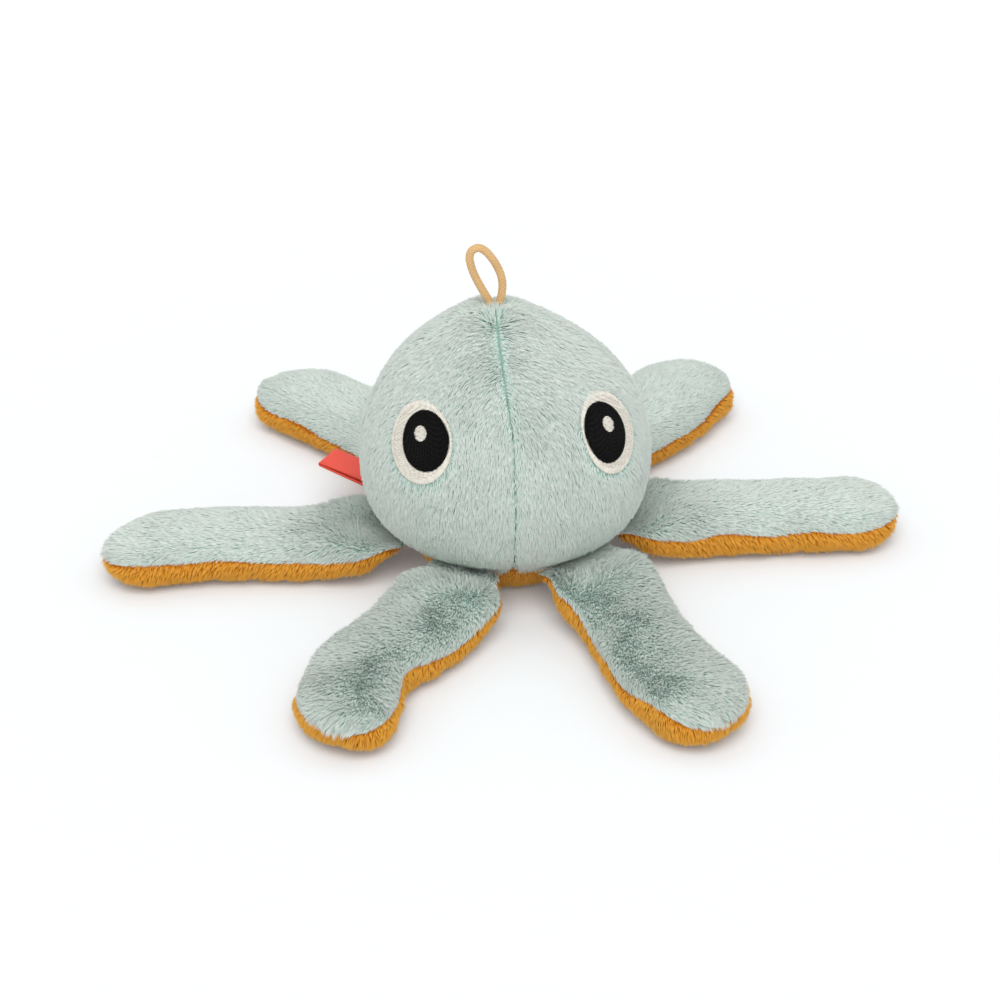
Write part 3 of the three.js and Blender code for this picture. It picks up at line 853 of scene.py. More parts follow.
class EyePlace:
    """The frame of one eye on the head."""

    def __init__(self, turn, tilt):
        side = math.copysign(1, turn)
        self.mirrored = side < 0
        azimuth = math.radians(-90 + turn)
        polar = math.radians(EYE_POLAR)
        self.out = np.array([
            math.sin(polar) * math.cos(azimuth), math.sin(polar) * math.sin(azimuth), math.cos(polar)
        ])
        flat = side * np.array([-math.sin(azimuth), math.cos(azimuth), 0])
        up = side * np.cross(self.out, flat)
        lean = -side * math.radians(tilt)
        self.across = flat * math.cos(lean) + np.cross(self.out, flat) * math.sin(lean)
        self.along = up * math.cos(lean) + np.cross(self.out, up) * math.sin(lean)

    def points(self, across, along, depth):
        way = HEAD_RADIUS * self.out + np.multiply.outer(across, self.across)
        way = unit(way + np.multiply.outer(along, self.along))
        return head_points(np.arccos(way[..., 2]), np.arctan2(way[..., 1], way[..., 0]), depth)

    def flat_places(self, polar, azimuth):
        """Across and along for places on the head. Those behind the eye get a far place."""
        way = np.stack([
            np.sin(polar) * np.cos(azimuth), np.sin(polar) * np.sin(azimuth), np.cos(polar)
        ], axis=-1)
        ahead = way @ self.out
        scale = HEAD_RADIUS / np.maximum(ahead, 0.05)
        return (way @ self.across) * scale, (way @ self.along) * scale


EYES = {side: EyePlace(turn, EYE_TILTS[side]) for side, turn in EYE_TURNS.items()}
GORE_ROWS = 84
GORE_COLUMNS = 60
ROWS_CROWD = 1.15  # above 1, the rows lie closer together at the crown
TIP_POLAR = 0.6 * MM / HEAD_RADIUS  # the gores meet this far from the middle of the crown
FACES_FRONT = (0.5, 0.95)  # a place is part of the front from the first share, and wholly from the second
BACK_DIP = 0.3  # how deep the back seams are, as a share of the front one

# The parting along a seam. Pairs of plain numbers are polar angles in radians
PART_REACH = 9 * MM  # the pile is brushed away from a seam over this width
PART_AT_CROWN = 1.4
PART_BELOW = 0.12
PART_FADES = (0.15, 1.1)
BACK_PART = 0.15
PART_GAP = (0.02 * MM, 0.4 * MM)  # bare width beside the seam, least and most
GAP_OPENS = (0.35, 1.2)
UNEVEN_SIZE = 3 * MM
UNEVEN_ENDS = (-0.35, 0.25)
UNEVEN_LEAST = 0.3
UNEVEN_SEED = 7
SHORT_BESIDE = 0.6  # length of the pile next to a seam, as a share
SHORT_REACH = 2.5 * MM
# Width of the painted shade on the cloth at a seam, its faintest share, and the polar angles over which it
# deepens
SEAM_SHADE = 0.5 * MM
SHADE_LEAST = 0.3
SHADE_DEEPENS = (0.25, 0.9)

# The tuft at the crown, and pile that stands up beside the front seam
CROWN_TUFT = (0.05, 0.3)  # ruffled to the first angle, and plain from the second
TUFT_LONGER = 0.6
TUFT_STANDS = 1.5
TUFT_STANDS_FRONT = 1.3
HEAD_LIES = 0.85
RUFFLE_SIZE = 9 * MM
RUFFLE_REACH = 18 * MM
RUFFLE_STANDS = 0.9

# Round the eyes, and where the tag brushes the head
EYE_MARGIN = 2.6 * MM  # the pile round an eye is brushed away from it over this width
EYE_PUSH = 0.9
EYE_BARE = (-0.3 * MM, 0.4 * MM)  # the pile starts between these distances from the edge of an eye
EYE_TRIM = 0.35
TAG_BRUSHES = (1.5, 1.75)
TAG_WEAR = 0.5


def brushed_from_eyes(polar, azimuth, nap, cover, length):
    """The pile's nap, cover and length, with a margin round each eye."""
    for eye in EYES.values():
        across, along = eye.flat_places(polar, azimuth)
        ratio = np.hypot(across / WHITE_HALF[0], along / WHITE_HALF[1])
        from_edge = (ratio - 1) * math.sqrt(WHITE_HALF[0] * WHITE_HALF[1])
        near = np.exp(-np.maximum(from_edge, 0) / EYE_MARGIN)
        from_eye = np.multiply.outer(across, eye.across) + np.multiply.outer(along, eye.along)
        nap = nap + unit(from_eye) * (EYE_PUSH * near)[..., None]
        cover = cover * smoothstep(from_edge, *EYE_BARE)
        length = length * (1 - EYE_TRIM * near)
    return nap, cover, length


def worn_by_tag(polar, azimuth):
    """How much shorter the pile is where the tag brushes it, as a share."""
    from_tag = HEAD_RADIUS * np.abs(np.angle(np.exp(1j * (azimuth - math.radians(TAG_AZIMUTH)))))
    return TAG_WEAR * (hump(from_tag, 0, TAG_WIDTH) * smoothstep(polar, *TAG_BRUSHES))


def make_gore(name, first_seam, seed):
    share = np.linspace(0, 1, GORE_ROWS)
    polar = lerp(TIP_POLAR, SEAM_POLAR, share ** ROWS_CROWD)[:, None]
    even = np.linspace(0, 1, GORE_COLUMNS)
    edge = (even + 0.5 - np.cos(np.linspace(0, math.pi, GORE_COLUMNS)) / 2) / 2
    azimuth = math.radians(first_seam) + edge[None, :] * (2 * math.pi / len(GORES))
    polar, azimuth = np.broadcast_arrays(polar, azimuth)
    away = seam_away(polar, azimuth)
    front = smoothstep(-np.sin(azimuth), *FACES_FRONT)
    dip = SEAM_DIP * lerp(BACK_DIP, 1.0, front) * hump(away, 0, SEAM_REACH)
    points = head_points(polar, azimuth, PILE + dip)

    # The nap runs down the gore and away from its seams
    down = unit(np.gradient(points, axis=0))
    round_way = np.stack([-np.sin(azimuth), np.cos(azimuth), np.zeros_like(azimuth)], axis=-1)
    from_seam = np.where(edge < 0.5, 1.0, -1.0)[None, :] * np.exp(-away / PART_REACH)
    part = lerp(PART_AT_CROWN, PART_BELOW, smoothstep(polar, *PART_FADES))
    part = part * lerp(BACK_PART, 1.0, front) * from_seam
    nap = down + round_way * part[..., None]

    # The seam shows in an uneven cleft, with painted shade on the cloth down in it
    uneven = smoothstep(lumps(points, UNEVEN_SIZE, UNEVEN_SEED), *UNEVEN_ENDS)
    opened = front * smoothstep(polar, *GAP_OPENS) * lerp(UNEVEN_LEAST, 1.0, uneven)
    gap = lerp(*PART_GAP, opened)
    cover = smoothstep(away, gap / 4, gap)
    seam = hump(away, 0, SEAM_SHADE) * lerp(SHADE_LEAST, 1.0, smoothstep(polar, *SHADE_DEEPENS) * uneven)

    # The crown has the longest pile, and what stands up most
    plain = smoothstep(polar, *CROWN_TUFT)
    length = lerp(SHORT_BESIDE, 1.0, smoothstep(away, 0, SHORT_REACH))
    length = length * lerp(1.0 + TUFT_LONGER * front, 1.0, plain)
    ruffle = lumps(points, RUFFLE_SIZE, seed) * np.exp(-away / RUFFLE_REACH) * front
    rise = lerp(TUFT_STANDS + TUFT_STANDS_FRONT * front, HEAD_LIES, plain)
    rise = rise + RUFFLE_STANDS * np.maximum(ruffle, 0)

    nap, cover, length = brushed_from_eyes(polar, azimuth, nap, cover, length)
    length = length * (1 - worn_by_tag(polar, azimuth))
    name = "head_" + name
    skin = surface(name, points, nap=unit(nap), cover=cover, length=length, rise=rise, seam=seam)
    plush_panel(
        name, name.replace("head_", "head_panel_"), "head", MINT, skin, seed, 0.9, None,
        density=8.0e6, length=3.0 * MM, width=0.4 * MM, stand=0.28, tousle=0.4, tuft=0.9 * MM,
        gather=0.35,
    )


for number, (gore_name, gore_seam) in enumerate(GORES.items()):
    make_gore(gore_name, gore_seam, 11 + 10 * number)


# Base
BASE_ROWS = 34
FLAT_ROWS = 10  # of those, on the flat
BASE_COLUMNS = 120
BASE_MIDDLE = 0.01 * MM
BASE_SHORT = 0.4  # length of the pile at the seam, as a share
SHORT_ROWS = 8


def make_base():
    down = np.array([math.cos(SEAM_POLAR), -math.sin(SEAM_POLAR)])
    reach = SEAM_REACH_IN - PILE
    seam = np.array([math.sin(SEAM_POLAR) * reach, HEAD_CENTRE + math.cos(SEAM_POLAR) * reach])
    seam = seam + CLEARANCE * down
    bend = seam + down * (seam[1] - PILE) / -down[1]
    flat = np.array([BASE_FLAT, PILE])
    share = np.linspace(0, 1, BASE_ROWS - FLAT_ROWS)[:, None]
    curve = (1 - share) ** 2 * seam + 2 * share * (1 - share) * bend + share ** 2 * flat
    inner = np.linspace(BASE_FLAT, BASE_MIDDLE, FLAT_ROWS + 1)[1:]
    profile = np.concatenate([curve, np.stack([inner, np.full(FLAT_ROWS, PILE)], axis=-1)])
    azimuth = np.linspace(0, 2 * math.pi, BASE_COLUMNS, endpoint=False)[None, :]
    ring = profile[:, :1]
    level = profile[:, 1:] + 0 * azimuth
    points = np.stack([ring * np.cos(azimuth), ring * np.sin(azimuth), level], axis=-1)
    nap = unit(np.gradient(points, axis=0))
    ones = np.ones(points.shape[:2])
    length = ones * lerp(BASE_SHORT, 1.0, smoothstep(np.arange(BASE_ROWS)[:, None], 0, SHORT_ROWS))
    skin = surface("base", points, wrap=True, nap=nap, cover=ones, length=length, rise=ones)
    plush_panel(
        "base", "base_panel", "head", MUSTARD, skin, 61, 0.8, None,
        density=6.0e6, length=3.2 * MM, width=0.36 * MM, stand=0.4, tousle=0.4, tuft=0.9 * MM,
        gather=0.35,
    )


make_base()


# Arms. Places along an arm are shares of its length
ARM_TIP = 1 - ARM_BULB_HALF / ARM_LENGTH
ARM_ROWS = 84
ARM_COLUMNS = 36
ARM_HINGE = SEAM_RADIUS + (ARM_SEWN_HALF + CLEARANCE) / math.sin(SEAM_POLAR)
ROOT_TUCK = 3 * MM  # the root goes this far in under the head
ROOT_PUFF = (-0.05, 0.2)  # the top swells from the first place to the second
UNDER_PUFF = (-0.08, 0.1)  # and the underside
WAIST_ENDS = (0.15, 0.5)
FULL_SPREAD = 0.16
BULB_ENDS = (0.4, 0.7)
NIP_PLACE = 0.6
NIP_SPREAD = 0.1
FLARE_PLACE = 0.2
FLARE_SPREAD = 0.16
TROUGH_PLACE = 0.12
TROUGH_SPREAD = 0.17
THICK_LEAST = 0.45  # the cloth keeps this share of the thickness of its solid
TIP_ROLLED = 0.75  # how far the underside rolls up the tips
ROLL_ENDS = (0.5, 0.9)
SEAM_LIFT = 2 * MM  # the side seams sit this high on the flanks
SEAM_INSET = 1.6 * MM  # and this far in from the widest place
INSET_DEPTH = 0.4
SEAM_WAVE = 3.2 * MM
WAVE_SIZE = 20 * MM
FLANKS_APART = 40 * MM  # far enough that the two seams wave each in its own way
TOP_UNEVEN = 0.8 * MM
TOP_LUMP = 15 * MM
FLANK_UNEVEN = 0.7 * MM
FLANK_LUMP = 9 * MM
ROOT_BEND = (-2 * MM, 12 * MM)  # the cloth bends between these places when an arm moves


def arm_half_width(t):
    shoulder = lerp(ARM_ROOT_HALF, ARM_SHOULDER_HALF, smoothstep(t, 0, ARM_SHOULDER / ARM_LENGTH))
    waist = lerp(shoulder, ARM_WAIST_HALF, smoothstep(t, *WAIST_ENDS))
    return lerp(waist, ARM_BULB_HALF, smoothstep(t, WAIST_ENDS[1], ARM_TIP))


def arm_bend(arm, t):
    """How far to the side the middle of an arm's solid is."""
    return arm.hook * t ** 2 + arm.belly * np.sin(math.pi * t) ** 2


def soft_bend(arm, t):
    """How far to the side the middle of the soft arm is."""
    return arm_bend(arm, t) + arm.sway * np.sin(2 * math.pi * t)


def arm_swell(t):
    return smoothstep(t, 0, ARM_SWELL / ARM_LENGTH)


def arm_middle(t):
    """The height of the middle of an arm above its root."""
    return lerp(0, ARM_DEPTH - SEAM_HEIGHT, arm_swell(t))


def arm_points(arm, t, turn, side, depth, seed):
    """Points of the upper (side 1) or lower (side -1) cloth of an arm, before it is put in its place."""
    swell = arm_swell(t)
    past = np.maximum(0, (t - ARM_TIP) / (1 - depth / ARM_LENGTH - ARM_TIP))
    rounded = np.sqrt(np.maximum(1 - past ** 2, 0))
    edge = np.cos(turn)
    full = np.where(edge > 0, *arm.full) * hump(t, 0, FULL_SPREAD) + arm.bulb * smoothstep(t, *BULB_ENDS)
    nip = np.where(edge > 0, arm.nip, 0) * hump(t, NIP_PLACE, NIP_SPREAD)
    half = (arm_half_width(t) + full - nip - depth) * rounded
    along = t * ARM_LENGTH

    # The side seams: rolled up, waving, and in from the widest place
    flank = np.stack([along, edge * FLANKS_APART, 0 * t], axis=-1)
    rolled = lerp(arm.rolled, TIP_ROLLED, smoothstep(t, *ROLL_ENDS)) * swell
    flare = np.where(edge < 0, arm.flare, 0) * hump(t, FLARE_PLACE, FLARE_SPREAD)
    wave = SEAM_WAVE * lumps(flank, WAVE_SIZE, seed) * swell * rounded
    lift = SEAM_LIFT * rolled + wave + flare
    inset = SEAM_INSET * rolled * rounded
    if side > 0:
        thick = lerp(ARM_SEWN_HALF, ARM_RISE * arm.plump, smoothstep(t, *ROOT_PUFF))
        across = edge * (half - inset)
        crown = np.sin(turn) * rounded
        hollow = arm.trough * hump(t, TROUGH_PLACE, TROUGH_SPREAD) * np.sin(turn) ** 3
        spot = np.stack([along, edge * half, 0 * t], axis=-1)
        soft = TOP_UNEVEN * lumps(spot, TOP_LUMP, seed + 5) * crown * swell
        above = np.maximum(thick - depth - lift, THICK_LEAST * thick - lift)
        height = lift + above * crown - hollow + soft
    else:
        thick = lerp(ARM_SEWN_HALF, ARM_DEPTH, smoothstep(t, *UNDER_PUFF))
        down = np.abs(np.sin(turn)) ** ARM_BOXY * rounded
        bulge = FLANK_UNEVEN * lumps(flank, FLANK_LUMP, seed + 9) * swell * rounded
        drawn = inset * np.maximum(1 - down / INSET_DEPTH, 0) ** 2
        across = np.sign(edge) * (np.abs(edge) ** ARM_BOXY * (half + bulge) - drawn)
        height = lift * (1 - down) ** 2 - np.maximum(thick - depth, THICK_LEAST * thick) * down
    return np.stack([along, soft_bend(arm, t) + across, arm_middle(t) + height], axis=-1)


def arm_placed(arm, points):
    x, y, z = np.moveaxis(points, -1, 0)
    return turned_to(arm.azimuth, ARM_HINGE + x, y, SEAM_HEIGHT + z)


def root_bend(arm):
    """The two places between which an arm bends."""
    return [tuple(arm_placed(arm, np.array([x, 0, 0]))) for x in ROOT_BEND]


# The pile of the arms
TO_FRONT = np.array([0.0, -1.0, 0.0])  # the pile in the hollows at the roots is swept this way
TO_TABLE = np.array([0.0, 0.0, -1.0])  # and the pile round the tips this way
TIP_NAP = (0.78, 0.92)
EDGE_FADE = 0.55  # of the way up, where the side seams no longer tell
FAN_OUT = 0.8
STIRRED = 0.9
STIRRED_LEAST = 0.65
STIRRED_SIZE = 10 * MM
STIRRED_ENDS = (-0.25, 0.35)
HOLLOW_PLACE = 0.14
HOLLOW_SPREAD = 0.15
HOLLOW_SWEEP = 2 * MM  # a trough this deep sweeps its pile as far to the front as along
UNDER_TUFT = 5 * MM
TOP_LOCKS = {"density": 8.0e6, "length": 3.0 * MM, "stand": 0.27, "tuft": 0.9 * MM}
UNDER_LOCKS = {"density": 6.5e6, "length": 2.8 * MM, "stand": 0.4, "tuft": 1.1 * MM}
TOUSLE_ENDS = (0.32, 0.5)


def top_pile(arm, t, inner, points, along, outward, seed):
    """The nap, cover, length and rise on the top of an arm."""
    patches = smoothstep(lumps(points, STIRRED_SIZE, seed + 3), *STIRRED_ENDS)
    stirred = STIRRED * arm.ruffled * lerp(STIRRED_LEAST, 1.0, patches)
    hollow = inner * hump(t, HOLLOW_PLACE, HOLLOW_SPREAD)
    rise = lerp(0.62, 0.8, arm.ruffled) + inner * stirred + (0.3 + 0.3 * arm.trough / MM) * hollow
    nap = 0.9 * along + 0.45 * outward
    nap = nap + np.multiply.outer(hollow * arm.trough / HOLLOW_SWEEP, TO_FRONT)
    return nap, np.ones(t.shape), lerp(0.65, 1.0, inner), rise


def underside_pile(arm, t, inner, points, along, outward, seed):
    """The same on the underside, which is bare where it is sewn in."""
    cover = smoothstep(t * ARM_LENGTH, -2 * MM, 2 * MM)
    rise = 1 + 0.5 * lumps(points, UNDER_TUFT, seed + 4)
    return 0.45 * along - 0.6 * outward, cover, lerp(0.8, 1.0, inner), rise


def make_arm(name, arm, seed):
    share = np.linspace(0, 1, ARM_ROWS)[:, None]
    t = lerp(-ROOT_TUCK / ARM_LENGTH, 1 - PILE / ARM_LENGTH, np.sin(share * math.pi / 2))
    turn = np.linspace(0, math.pi, ARM_COLUMNS)[None, :]
    t, turn = np.broadcast_arrays(t, turn)
    edge = np.cos(turn)
    inner = smoothstep(np.sin(turn), 0, EDGE_FADE)  # 0 at the side seams
    tip = smoothstep(t, *TIP_NAP)[..., None]
    azimuth = math.radians(arm.azimuth)
    outwards = np.array([math.cos(azimuth), math.sin(azimuth), 0])
    for side, panel, plush, pile, tip_nap, locks in (
        (1, "top", MINT, top_pile, outwards + 0.3 * TO_TABLE, TOP_LOCKS),
        (-1, "underside", MUSTARD, underside_pile, 0.6 * outwards + TO_TABLE, UNDER_LOCKS),
    ):
        points = arm_placed(arm, arm_points(arm, t, turn, side, PILE, seed))
        along = unit(np.gradient(points, axis=0))
        over = unit(np.gradient(points, axis=1))
        outward = -over * (np.sign(edge) * np.abs(edge) ** FAN_OUT)[..., None]
        nap, cover, length, rise = pile(arm, t, inner, points, along, outward, seed)
        nap = unit(lerp(nap, tip_nap, tip))
        whole = "arm_" + name + "_" + panel
        skin = surface(whole, points, flip=side > 0, nap=nap, cover=cover, length=length, rise=rise)
        stirred = side > 0 and arm.ruffled > 0.5
        plush_panel(
            whole, whole, "arm_" + name, plush, skin, seed + side, 0.5, root_bend(arm), **locks,
            width=0.4 * MM, gather=0.4, tousle=lerp(*TOUSLE_ENDS, arm.ruffled),
            roll=SIDE_UP if stirred else RIDGE_UP, twist=1.0 if stirred else 0.0,
        )


for number, (arm_name, arm_shape) in enumerate(ARMS.items()):
    make_arm(arm_name, arm_shape, 105 + 10 * number)


# Stitches
STITCH_WIDTH = 0.42 * MM
STITCH_HEIGHT = 0.3 * MM


def make_stitch_grower():
    """Threads that lie along the way of their points, flat to the cloth."""
    grower = Grower("stitches", {
        "Geometry": ("Geometry", None),
        "Width": ("Float", STITCH_WIDTH),
        "Height": ("Float", STITCH_HEIGHT),
        "Seed": ("Int", 1),
        "Look": ("Material", None),
    })
    g = grower.graph
    given = grower.given
    bead = g.add("GeometryNodeMeshUVSphere", {}, {"Segments": 6, "Rings": 5, "Radius": 0.5})
    up = g.split(g.add("GeometryNodeInputPosition"))
    bead = kept(g, bead, "height", "FLOAT", "POINT", up.of("Z") + 0.5)
    bead = kept(g, bead, "side", "FLOAT", "POINT", up.of("X"))
    tone = 0.05 + 0.9 * g.chance(given.of("Seed"))
    spots = kept(g, given.of("Geometry"), "tone", "FLOAT", "POINT", tone)
    turn = aimed(g, field(g, "way", "FLOAT_VECTOR"), field(g, "out", "FLOAT_VECTOR"))
    size = g.join(given.of("Width"), given.of("Height"), field(g, "long"))
    threads = with_bake_map(g, copies(g, spots, bead, turn, size))
    threads = dropped(g, threads, ("height", "side", "tone", "way", "out", "long"))
    threads = g.add("GeometryNodeSetShadeSmooth", {}, {"Geometry": threads, "Shade Smooth": True})
    grower.end(threads, given.of("Look"))
    return grower


STITCH_GROWER = make_stitch_grower()


def stitched(name, starts, ends, outs, look, seed):
    """One piece of all the stitches from the starts to the ends."""
    ways = ends - starts
    mesh = bpy.data.meshes.new(name + "_places")
    mesh.from_pydata(((starts + ends) / 2).tolist(), [], [])
    keep_field(mesh, "way", ways)
    keep_field(mesh, "out", outs)
    keep_field(mesh, "long", np.linalg.norm(ways, axis=-1))
    carrier = linked(name + "_places", mesh)
    piece = STITCH_GROWER.grow(
        name, carrier, width=STITCH_WIDTH, height=STITCH_HEIGHT, seed=seed, look=look,
    )
    bpy.data.objects.remove(carrier)
    return piece


# Eyes
EYE_OVALS = {  # middle and half axes, across and along the eye
    "white": ((0, 0), WHITE_HALF),
    "pupil": ((-PUPIL_INWARD, 0), PUPIL_HALF),
    "glint": ((GLINT_OUTWARD - PUPIL_INWARD, GLINT_UP), GLINT_HALF),
}
EYE_FACES = {"white": 0.75 * MM, "pupil": 0.55 * MM, "glint": 0.38 * MM}  # depth below the solids' outside
EYE_EDGE = 1.3 * MM  # width of the rolled edge
FACE_ROWS = 6
EDGE_ROWS = 9
EYE_COLUMNS = 72
WHITE_FOOT = PILE + 0.4 * MM
FOOT_SUNK = 0.25 * MM  # the next oval up starts this far below a face
UNDERLAY_DEPTH = 0.1 * MM  # below the face
STITCH_DEPTH = 0.08 * MM
STITCH_PITCH = 0.36 * MM
BORDER = {"white": 1.7 * MM, "pupil": 1.3 * MM}  # width of the satin border
BORDER_PAST = 0.25 * MM  # it starts this far outside the oval
BORDER_RAISED = 0.1 * MM
BORDER_DROP = 0.35 * MM  # of its outer ends
FILL_INSET = 0.8  # the filling starts this far in, as a share of the border
FILL_STITCH = 3.4 * MM
GLINT_STITCH = 9 * MM  # longer than the glint, so each row is one stitch
SHORTEST = 0.4 * MM
STAGGER = 0.382  # of a stitch, from row to row
PUPIL_HIDES = 0.85  # what lies in this share of the pupil isn't stitched
GLINT_HIDES = 0.7


def eye_patch(name, eye, oval, face, foot):
    """The padded oval under the stitches, with a rolled edge."""
    middle, half = oval
    flat = 1 - EYE_EDGE / max(half[0], 2 * EYE_EDGE)
    rows = [np.linspace(0, flat, FACE_ROWS), np.linspace(flat, 1, EDGE_ROWS)[1:], [0]]
    share = np.concatenate(rows)[:, None]
    roll = np.clip((share - flat) / (1 - flat), 0, 1)
    depth = face + (foot - face) * (1 - np.sqrt(1 - roll ** 2))
    depth[-1] = foot
    turn = np.linspace(0, 2 * math.pi, EYE_COLUMNS, endpoint=False)[None, :]
    across = middle[0] + half[0] * share * np.cos(turn)
    along = middle[1] + half[1] * share * np.sin(turn)
    return surface(name, eye.points(across, along, depth), flip=eye.mirrored, wrap=True)


def border_stitches(oval, width):
    """Ends of satin stitches from just outside the edge of an oval to a little way in."""
    middle, half = oval
    count = int(math.pi * (half[0] + half[1]) / STITCH_PITCH)
    turn = np.linspace(0, 2 * math.pi, count, endpoint=False)
    round_way = np.stack([np.cos(turn), np.sin(turn)], axis=-1)
    half = np.array(half)
    return middle + round_way * (half + BORDER_PAST), middle + round_way * (half - width)


def fill_stitches(oval, upright, inset, longest):
    """Ends of staggered rows of stitches that fill an oval, across it or upright."""
    middle, half = oval
    wide, tall = np.array(half)[::-1 if upright else 1] - inset
    rows = int(2 * tall / STITCH_PITCH)
    starts, ends = [], []
    for row in range(rows):
        level = -tall + (row + 0.5) * 2 * tall / rows
        reach = wide * math.sqrt(1 - (level / tall) ** 2)
        marks = np.arange(-reach - longest * (row * STAGGER % 1), reach + longest, longest)
        marks = np.clip(marks, -reach, reach)
        for low, high in zip(marks, marks[1:]):
            if high - low > SHORTEST:
                starts.append((low, level))
                ends.append((high, level))
    turned = slice(None, None, -1 if upright else 1)
    return np.array(starts)[:, turned] + middle, np.array(ends)[:, turned] + middle


def out_from(oval, places):
    """How far out places are from the middle of an oval. Its edge is at 1."""
    middle, half = oval
    return np.hypot((places[:, 0] - middle[0]) / half[0], (places[:, 1] - middle[1]) / half[1])


def eye_stitches():
    """Lists of stitches for each oval, of which the first list is its border."""
    lists = {part: [border_stitches(EYE_OVALS[part], width)] for part, width in BORDER.items()}
    lists["glint"] = [fill_stitches(EYE_OVALS["glint"], False, 0.0, GLINT_STITCH)]
    for part, upright, above, hides in (
        ("white", False, "pupil", PUPIL_HIDES), ("pupil", True, "glint", GLINT_HIDES),
    ):
        inset = BORDER[part] * FILL_INSET
        starts, ends = fill_stitches(EYE_OVALS[part], upright, inset, FILL_STITCH)
        clear = out_from(EYE_OVALS[above], (starts + ends) / 2) > hides
        lists[part].append((starts[clear], ends[clear]))
    return lists


def make_eye(side, eye, seed):
    foot = WHITE_FOOT
    for number, (part, lists) in enumerate(eye_stitches().items()):
        face = EYE_FACES[part]
        name = side + "_eye_" + part
        pale = part != "pupil"
        patch = eye_patch(name + "_underlay", eye, EYE_OVALS[part], face + UNDERLAY_DEPTH, foot)
        patch.data.materials.append(WHITE_KNIT if pale else BLACK_KNIT)
        foot = face + FOOT_SUNK
        first = np.concatenate([starts for starts, ends in lists])
        last = np.concatenate([ends for starts, ends in lists])
        border = np.arange(len(first)) < len(lists[0][0])
        depth = np.full(len(first), face + STITCH_DEPTH)
        depth[border] -= BORDER_RAISED
        rim = depth + (BORDER_DROP if part in BORDER else 0) * border
        low = eye.points(first[:, 0], first[:, 1], rim)
        high = eye.points(last[:, 0], last[:, 1], depth)
        outs = unit((low + high) / 2 - np.array([0, 0, HEAD_CENTRE]))
        look = WHITE_THREAD if pale else BLACK_THREAD
        sewn = stitched(name + "_stitches", low, high, outs, look, seed + number)
        for piece in (patch, sewn):
            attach(piece, "head")
        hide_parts(name)


for number, (eye_side, eye_place) in enumerate(EYES.items()):
    make_eye(eye_side, eye_place, 301 + 10 * number)


# Bar tack
TACK_HALF = 3.4 * MM
TACK_DEPTH = 1.3 * MM
TACK_TOP = CROWN_HEIGHT - CORD_RADIUS - 0.6 * MM
TACK_FALL = 0.5 * MM  # of its edges below its top
TACK_PITCH = 0.3 * MM
TACK_BARS = np.linspace(-0.8, 0.8, 5) * MM


def make_tack():
    """Rows of thread over the ends of the cord, sewn through the crown."""
    across = np.arange(-TACK_HALF, TACK_HALF, TACK_PITCH)
    zeros = np.zeros_like(across)
    near = np.stack([CROWN_LEAN + across, zeros - TACK_DEPTH, zeros + TACK_TOP - TACK_FALL], axis=-1)
    far = near * np.array([1, -1, 1])
    crest = np.stack([CROWN_LEAN + across, zeros, zeros + TACK_TOP], axis=-1)
    zeros = 0 * TACK_BARS
    left = np.stack([zeros + CROWN_LEAN - TACK_HALF, TACK_BARS, zeros + TACK_TOP - TACK_FALL], axis=-1)
    right = left + np.array([2 * TACK_HALF, 0, 0])
    starts = np.concatenate([near, crest, left])
    ends = np.concatenate([crest, far, right])
    outs = np.broadcast_to([0.0, 0.0, 1.0], starts.shape)
    piece = stitched("loop_bar_tack_stitches", starts, ends, outs, TACK_THREAD, 341)
    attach(piece, "head")
    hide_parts("loop_bar_tack")


make_tack()


# Ribbon tag
TAG_HINGE = SEAM_RADIUS + (RIBBON + FOLD_GAP / 2 + CLEARANCE) / math.sin(SEAM_POLAR)
TAG_BOW = 0.5 * MM
BOW_BOTH = 0.4  # share of the bow that both layers have
TAG_CURL = 0.25 * MM
CURL_TURN = 4  # radians over its length
TAG_ROWS = 90
TAG_COLUMNS = 15


def make_tag():
    """One ribbon, out along the upper layer, round the fold and back along the lower one."""
    half_gap = (RIBBON + FOLD_GAP) / 2
    straight = TAG_LENGTH - half_gap - RIBBON / 2
    total = 2 * straight + math.pi * half_gap
    far = np.linspace(0, total, TAG_ROWS)
    turn = np.clip((far - straight) / half_gap, 0, math.pi)
    back = np.maximum(far - straight - math.pi * half_gap, 0)
    x = np.minimum(far, straight) - back + half_gap * np.sin(turn)
    bow = TAG_BOW * np.sin(np.clip(x / straight, 0, 1) * math.pi)
    z = half_gap * np.cos(turn) + bow * (BOW_BOTH + (1 - BOW_BOTH) * np.cos(turn))
    side = np.linspace(-0.5, 0.5, TAG_COLUMNS) * TAG_WIDTH
    shape = (TAG_ROWS, TAG_COLUMNS)
    curl = TAG_CURL * np.sin(x / TAG_LENGTH * CURL_TURN)
    x = np.broadcast_to(x[:, None], shape)
    z = z[:, None] + curl[:, None] * (side / TAG_WIDTH)[None, :]
    side = np.broadcast_to(side, shape)
    pitch = math.radians(TAG_PITCH)
    out = TAG_HINGE + x * math.cos(pitch) - z * math.sin(pitch)
    up = SEAM_HEIGHT + x * math.sin(pitch) + z * math.cos(pitch)
    weave = np.stack([side, np.broadcast_to(far[:, None], shape), np.zeros(shape)], axis=-1)
    piece = surface("ribbon_tag_weave", turned_to(TAG_AZIMUTH, out, side, up), weave=weave)
    piece.data.materials.append(RED_RIBBON)
    thickened(piece, RIBBON, 0)
    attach(piece, "tag")
    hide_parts("ribbon_tag")


make_tag()


# Fillings
FILLING_VOXEL = 2.2 * MM
FILLING_SLACK = 1.4 * MM  # room between a filling and its cloth
ARM_DRAWN = 0.8  # an arm's wad is this share as wide and as thick as its solid
FILLING_LUMPS = 0.9 * MM
LUMP_SIZE = 7 * MM


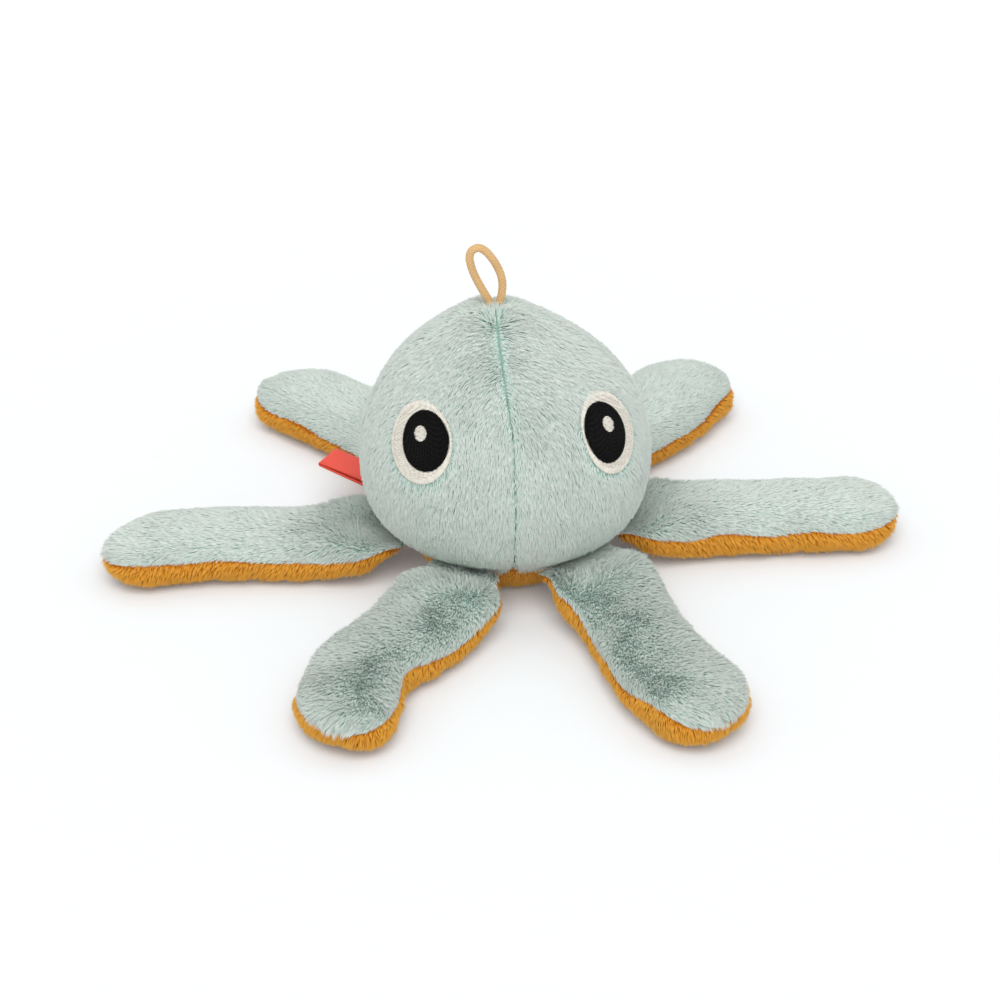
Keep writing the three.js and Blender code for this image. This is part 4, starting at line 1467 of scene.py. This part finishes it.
def drawn_in(arm, points):
    """Places in the solid of an arm, moved to where they are in the soft arm and towards its middle."""
    azimuth = math.radians(arm.azimuth)
    cosine, sine = math.cos(azimuth), math.sin(azimuth)
    x, y, z = points.T
    out = x * cosine + y * sine - ARM_HINGE
    t = out / ARM_LENGTH
    beside = y * cosine - x * sine - arm_bend(arm, t)
    above = z - SEAM_HEIGHT - arm_middle(t)
    across = soft_bend(arm, t) + ARM_DRAWN * beside
    return arm_placed(arm, np.stack([out, across, arm_middle(t) + ARM_DRAWN * above], axis=-1))


def make_filling(node, body, arm=None):
    """A wad of carded fibre, a little smaller and more uneven than its solid."""
    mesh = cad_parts[node].data.copy()
    mesh.materials.clear()
    weld(mesh)
    piece = linked(node + "_wad", mesh)
    remesh = piece.modifiers.new("wad", "REMESH")
    remesh.mode = "VOXEL"
    remesh.voxel_size = FILLING_VOXEL
    slack = piece.modifiers.new("slack", "DISPLACE")
    slack.mid_level = 0
    slack.strength = -FILLING_SLACK
    applied(piece)
    for vertex, normal in zip(piece.data.vertices, [v.normal.copy() for v in piece.data.vertices]):
        vertex.co -= normal * FILLING_LUMPS * (0.5 + 0.5 * noise.noise(vertex.co / LUMP_SIZE))
    piece.data.polygons.foreach_set("use_smooth", [True] * len(piece.data.polygons))
    piece.data.materials.append(FILLING)
    if arm:
        places = drawn_in(arm, np.array([v.co for v in piece.data.vertices]))
        piece.data.vertices.foreach_set("co", places.astype(np.float32).ravel())
        start, end = root_bend(arm)
        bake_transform(piece)
    else:
        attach(piece, body)
    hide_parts(node)


make_filling("filling_upper", "head")
make_filling("filling_lower", "head")
for arm_name, arm_shape in ARMS.items():
    make_filling("arm_" + arm_name + "_filling", "arm_" + arm_name, arm_shape)

# Rattle, which keeps its solids
for node_name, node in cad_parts.items():
    if node_name.startswith("rattle_"):
        for place in node.material_slots:
            place.material = CAPSULE_PLASTIC if "capsule" in node_name else BALL_PLASTIC


# Stage
FLOOR_HALF = 3
FLOOR_COLOUR = (0.87, 0.9, 0.92, 1)
FLOOR_GLOW = 0.08  # towards the camera, which makes the floor as white as the background
STUDIO_LIGHT = 0.64  # of the surroundings on the toy. The camera sees them at 1
SOFTBOX_ENERGY = 1.62
SOFTBOX_SPREAD = math.radians(45)
SOFTBOX_WAY = (0.06, 0.72, -1)


def seen_plainly(g):
    """1 for rays from the camera, or by way of a mirror or glass."""
    path = g.add("ShaderNodeLightPath")
    both = g.math("MAXIMUM", path.of("Is Camera Ray"), path.of("Is Glossy Ray"))
    return g.math("MAXIMUM", both, path.of("Is Transmission Ray"))


def floor_material():
    made = bpy.data.materials.new("table_white")
    made.use_nodes = True
    g = Graph(made.node_tree)
    made.node_tree.nodes.remove(made.node_tree.nodes["Principled BSDF"])
    matt = g.add("ShaderNodeBsdfDiffuse", {}, {"Color": FLOOR_COLOUR})
    glow = g.add("ShaderNodeEmission", {}, {"Strength": seen_plainly(g) * FLOOR_GLOW})
    both = g.add("ShaderNodeAddShader", {}, {0: matt, 1: glow})
    made.node_tree.links.new(both.output, made.node_tree.nodes["Material Output"].inputs["Surface"])
    return made


def make_stage():
    ends = (-FLOOR_HALF, FLOOR_HALF)
    floor = surface("floor", np.array([[[x, y, 0] for y in ends] for x in ends], float))
    floor.data.materials.append(floor_material())
    world = bpy.data.worlds.new("studio")
    bpy.context.scene.world = world
    world.use_nodes = True
    g = Graph(world.node_tree)
    shader = world.node_tree.nodes["Background"]
    strength = g.spread(seen_plainly(g), 0, 1, STUDIO_LIGHT, 1.0)
    world.node_tree.links.new(strength.output, shader.inputs["Strength"])
    shader.inputs["Color"].default_value = (1, 1, 1, 1)
    sun = bpy.data.lights.new("softbox", "SUN")
    sun.energy = SOFTBOX_ENERGY
    sun.angle = SOFTBOX_SPREAD
    lamp = linked("softbox", sun)
    lamp.rotation_euler = Vector(SOFTBOX_WAY).to_track_quat("-Z", "Y").to_euler()


make_stage()
bpy.context.scene.view_settings.view_transform = "Standard"
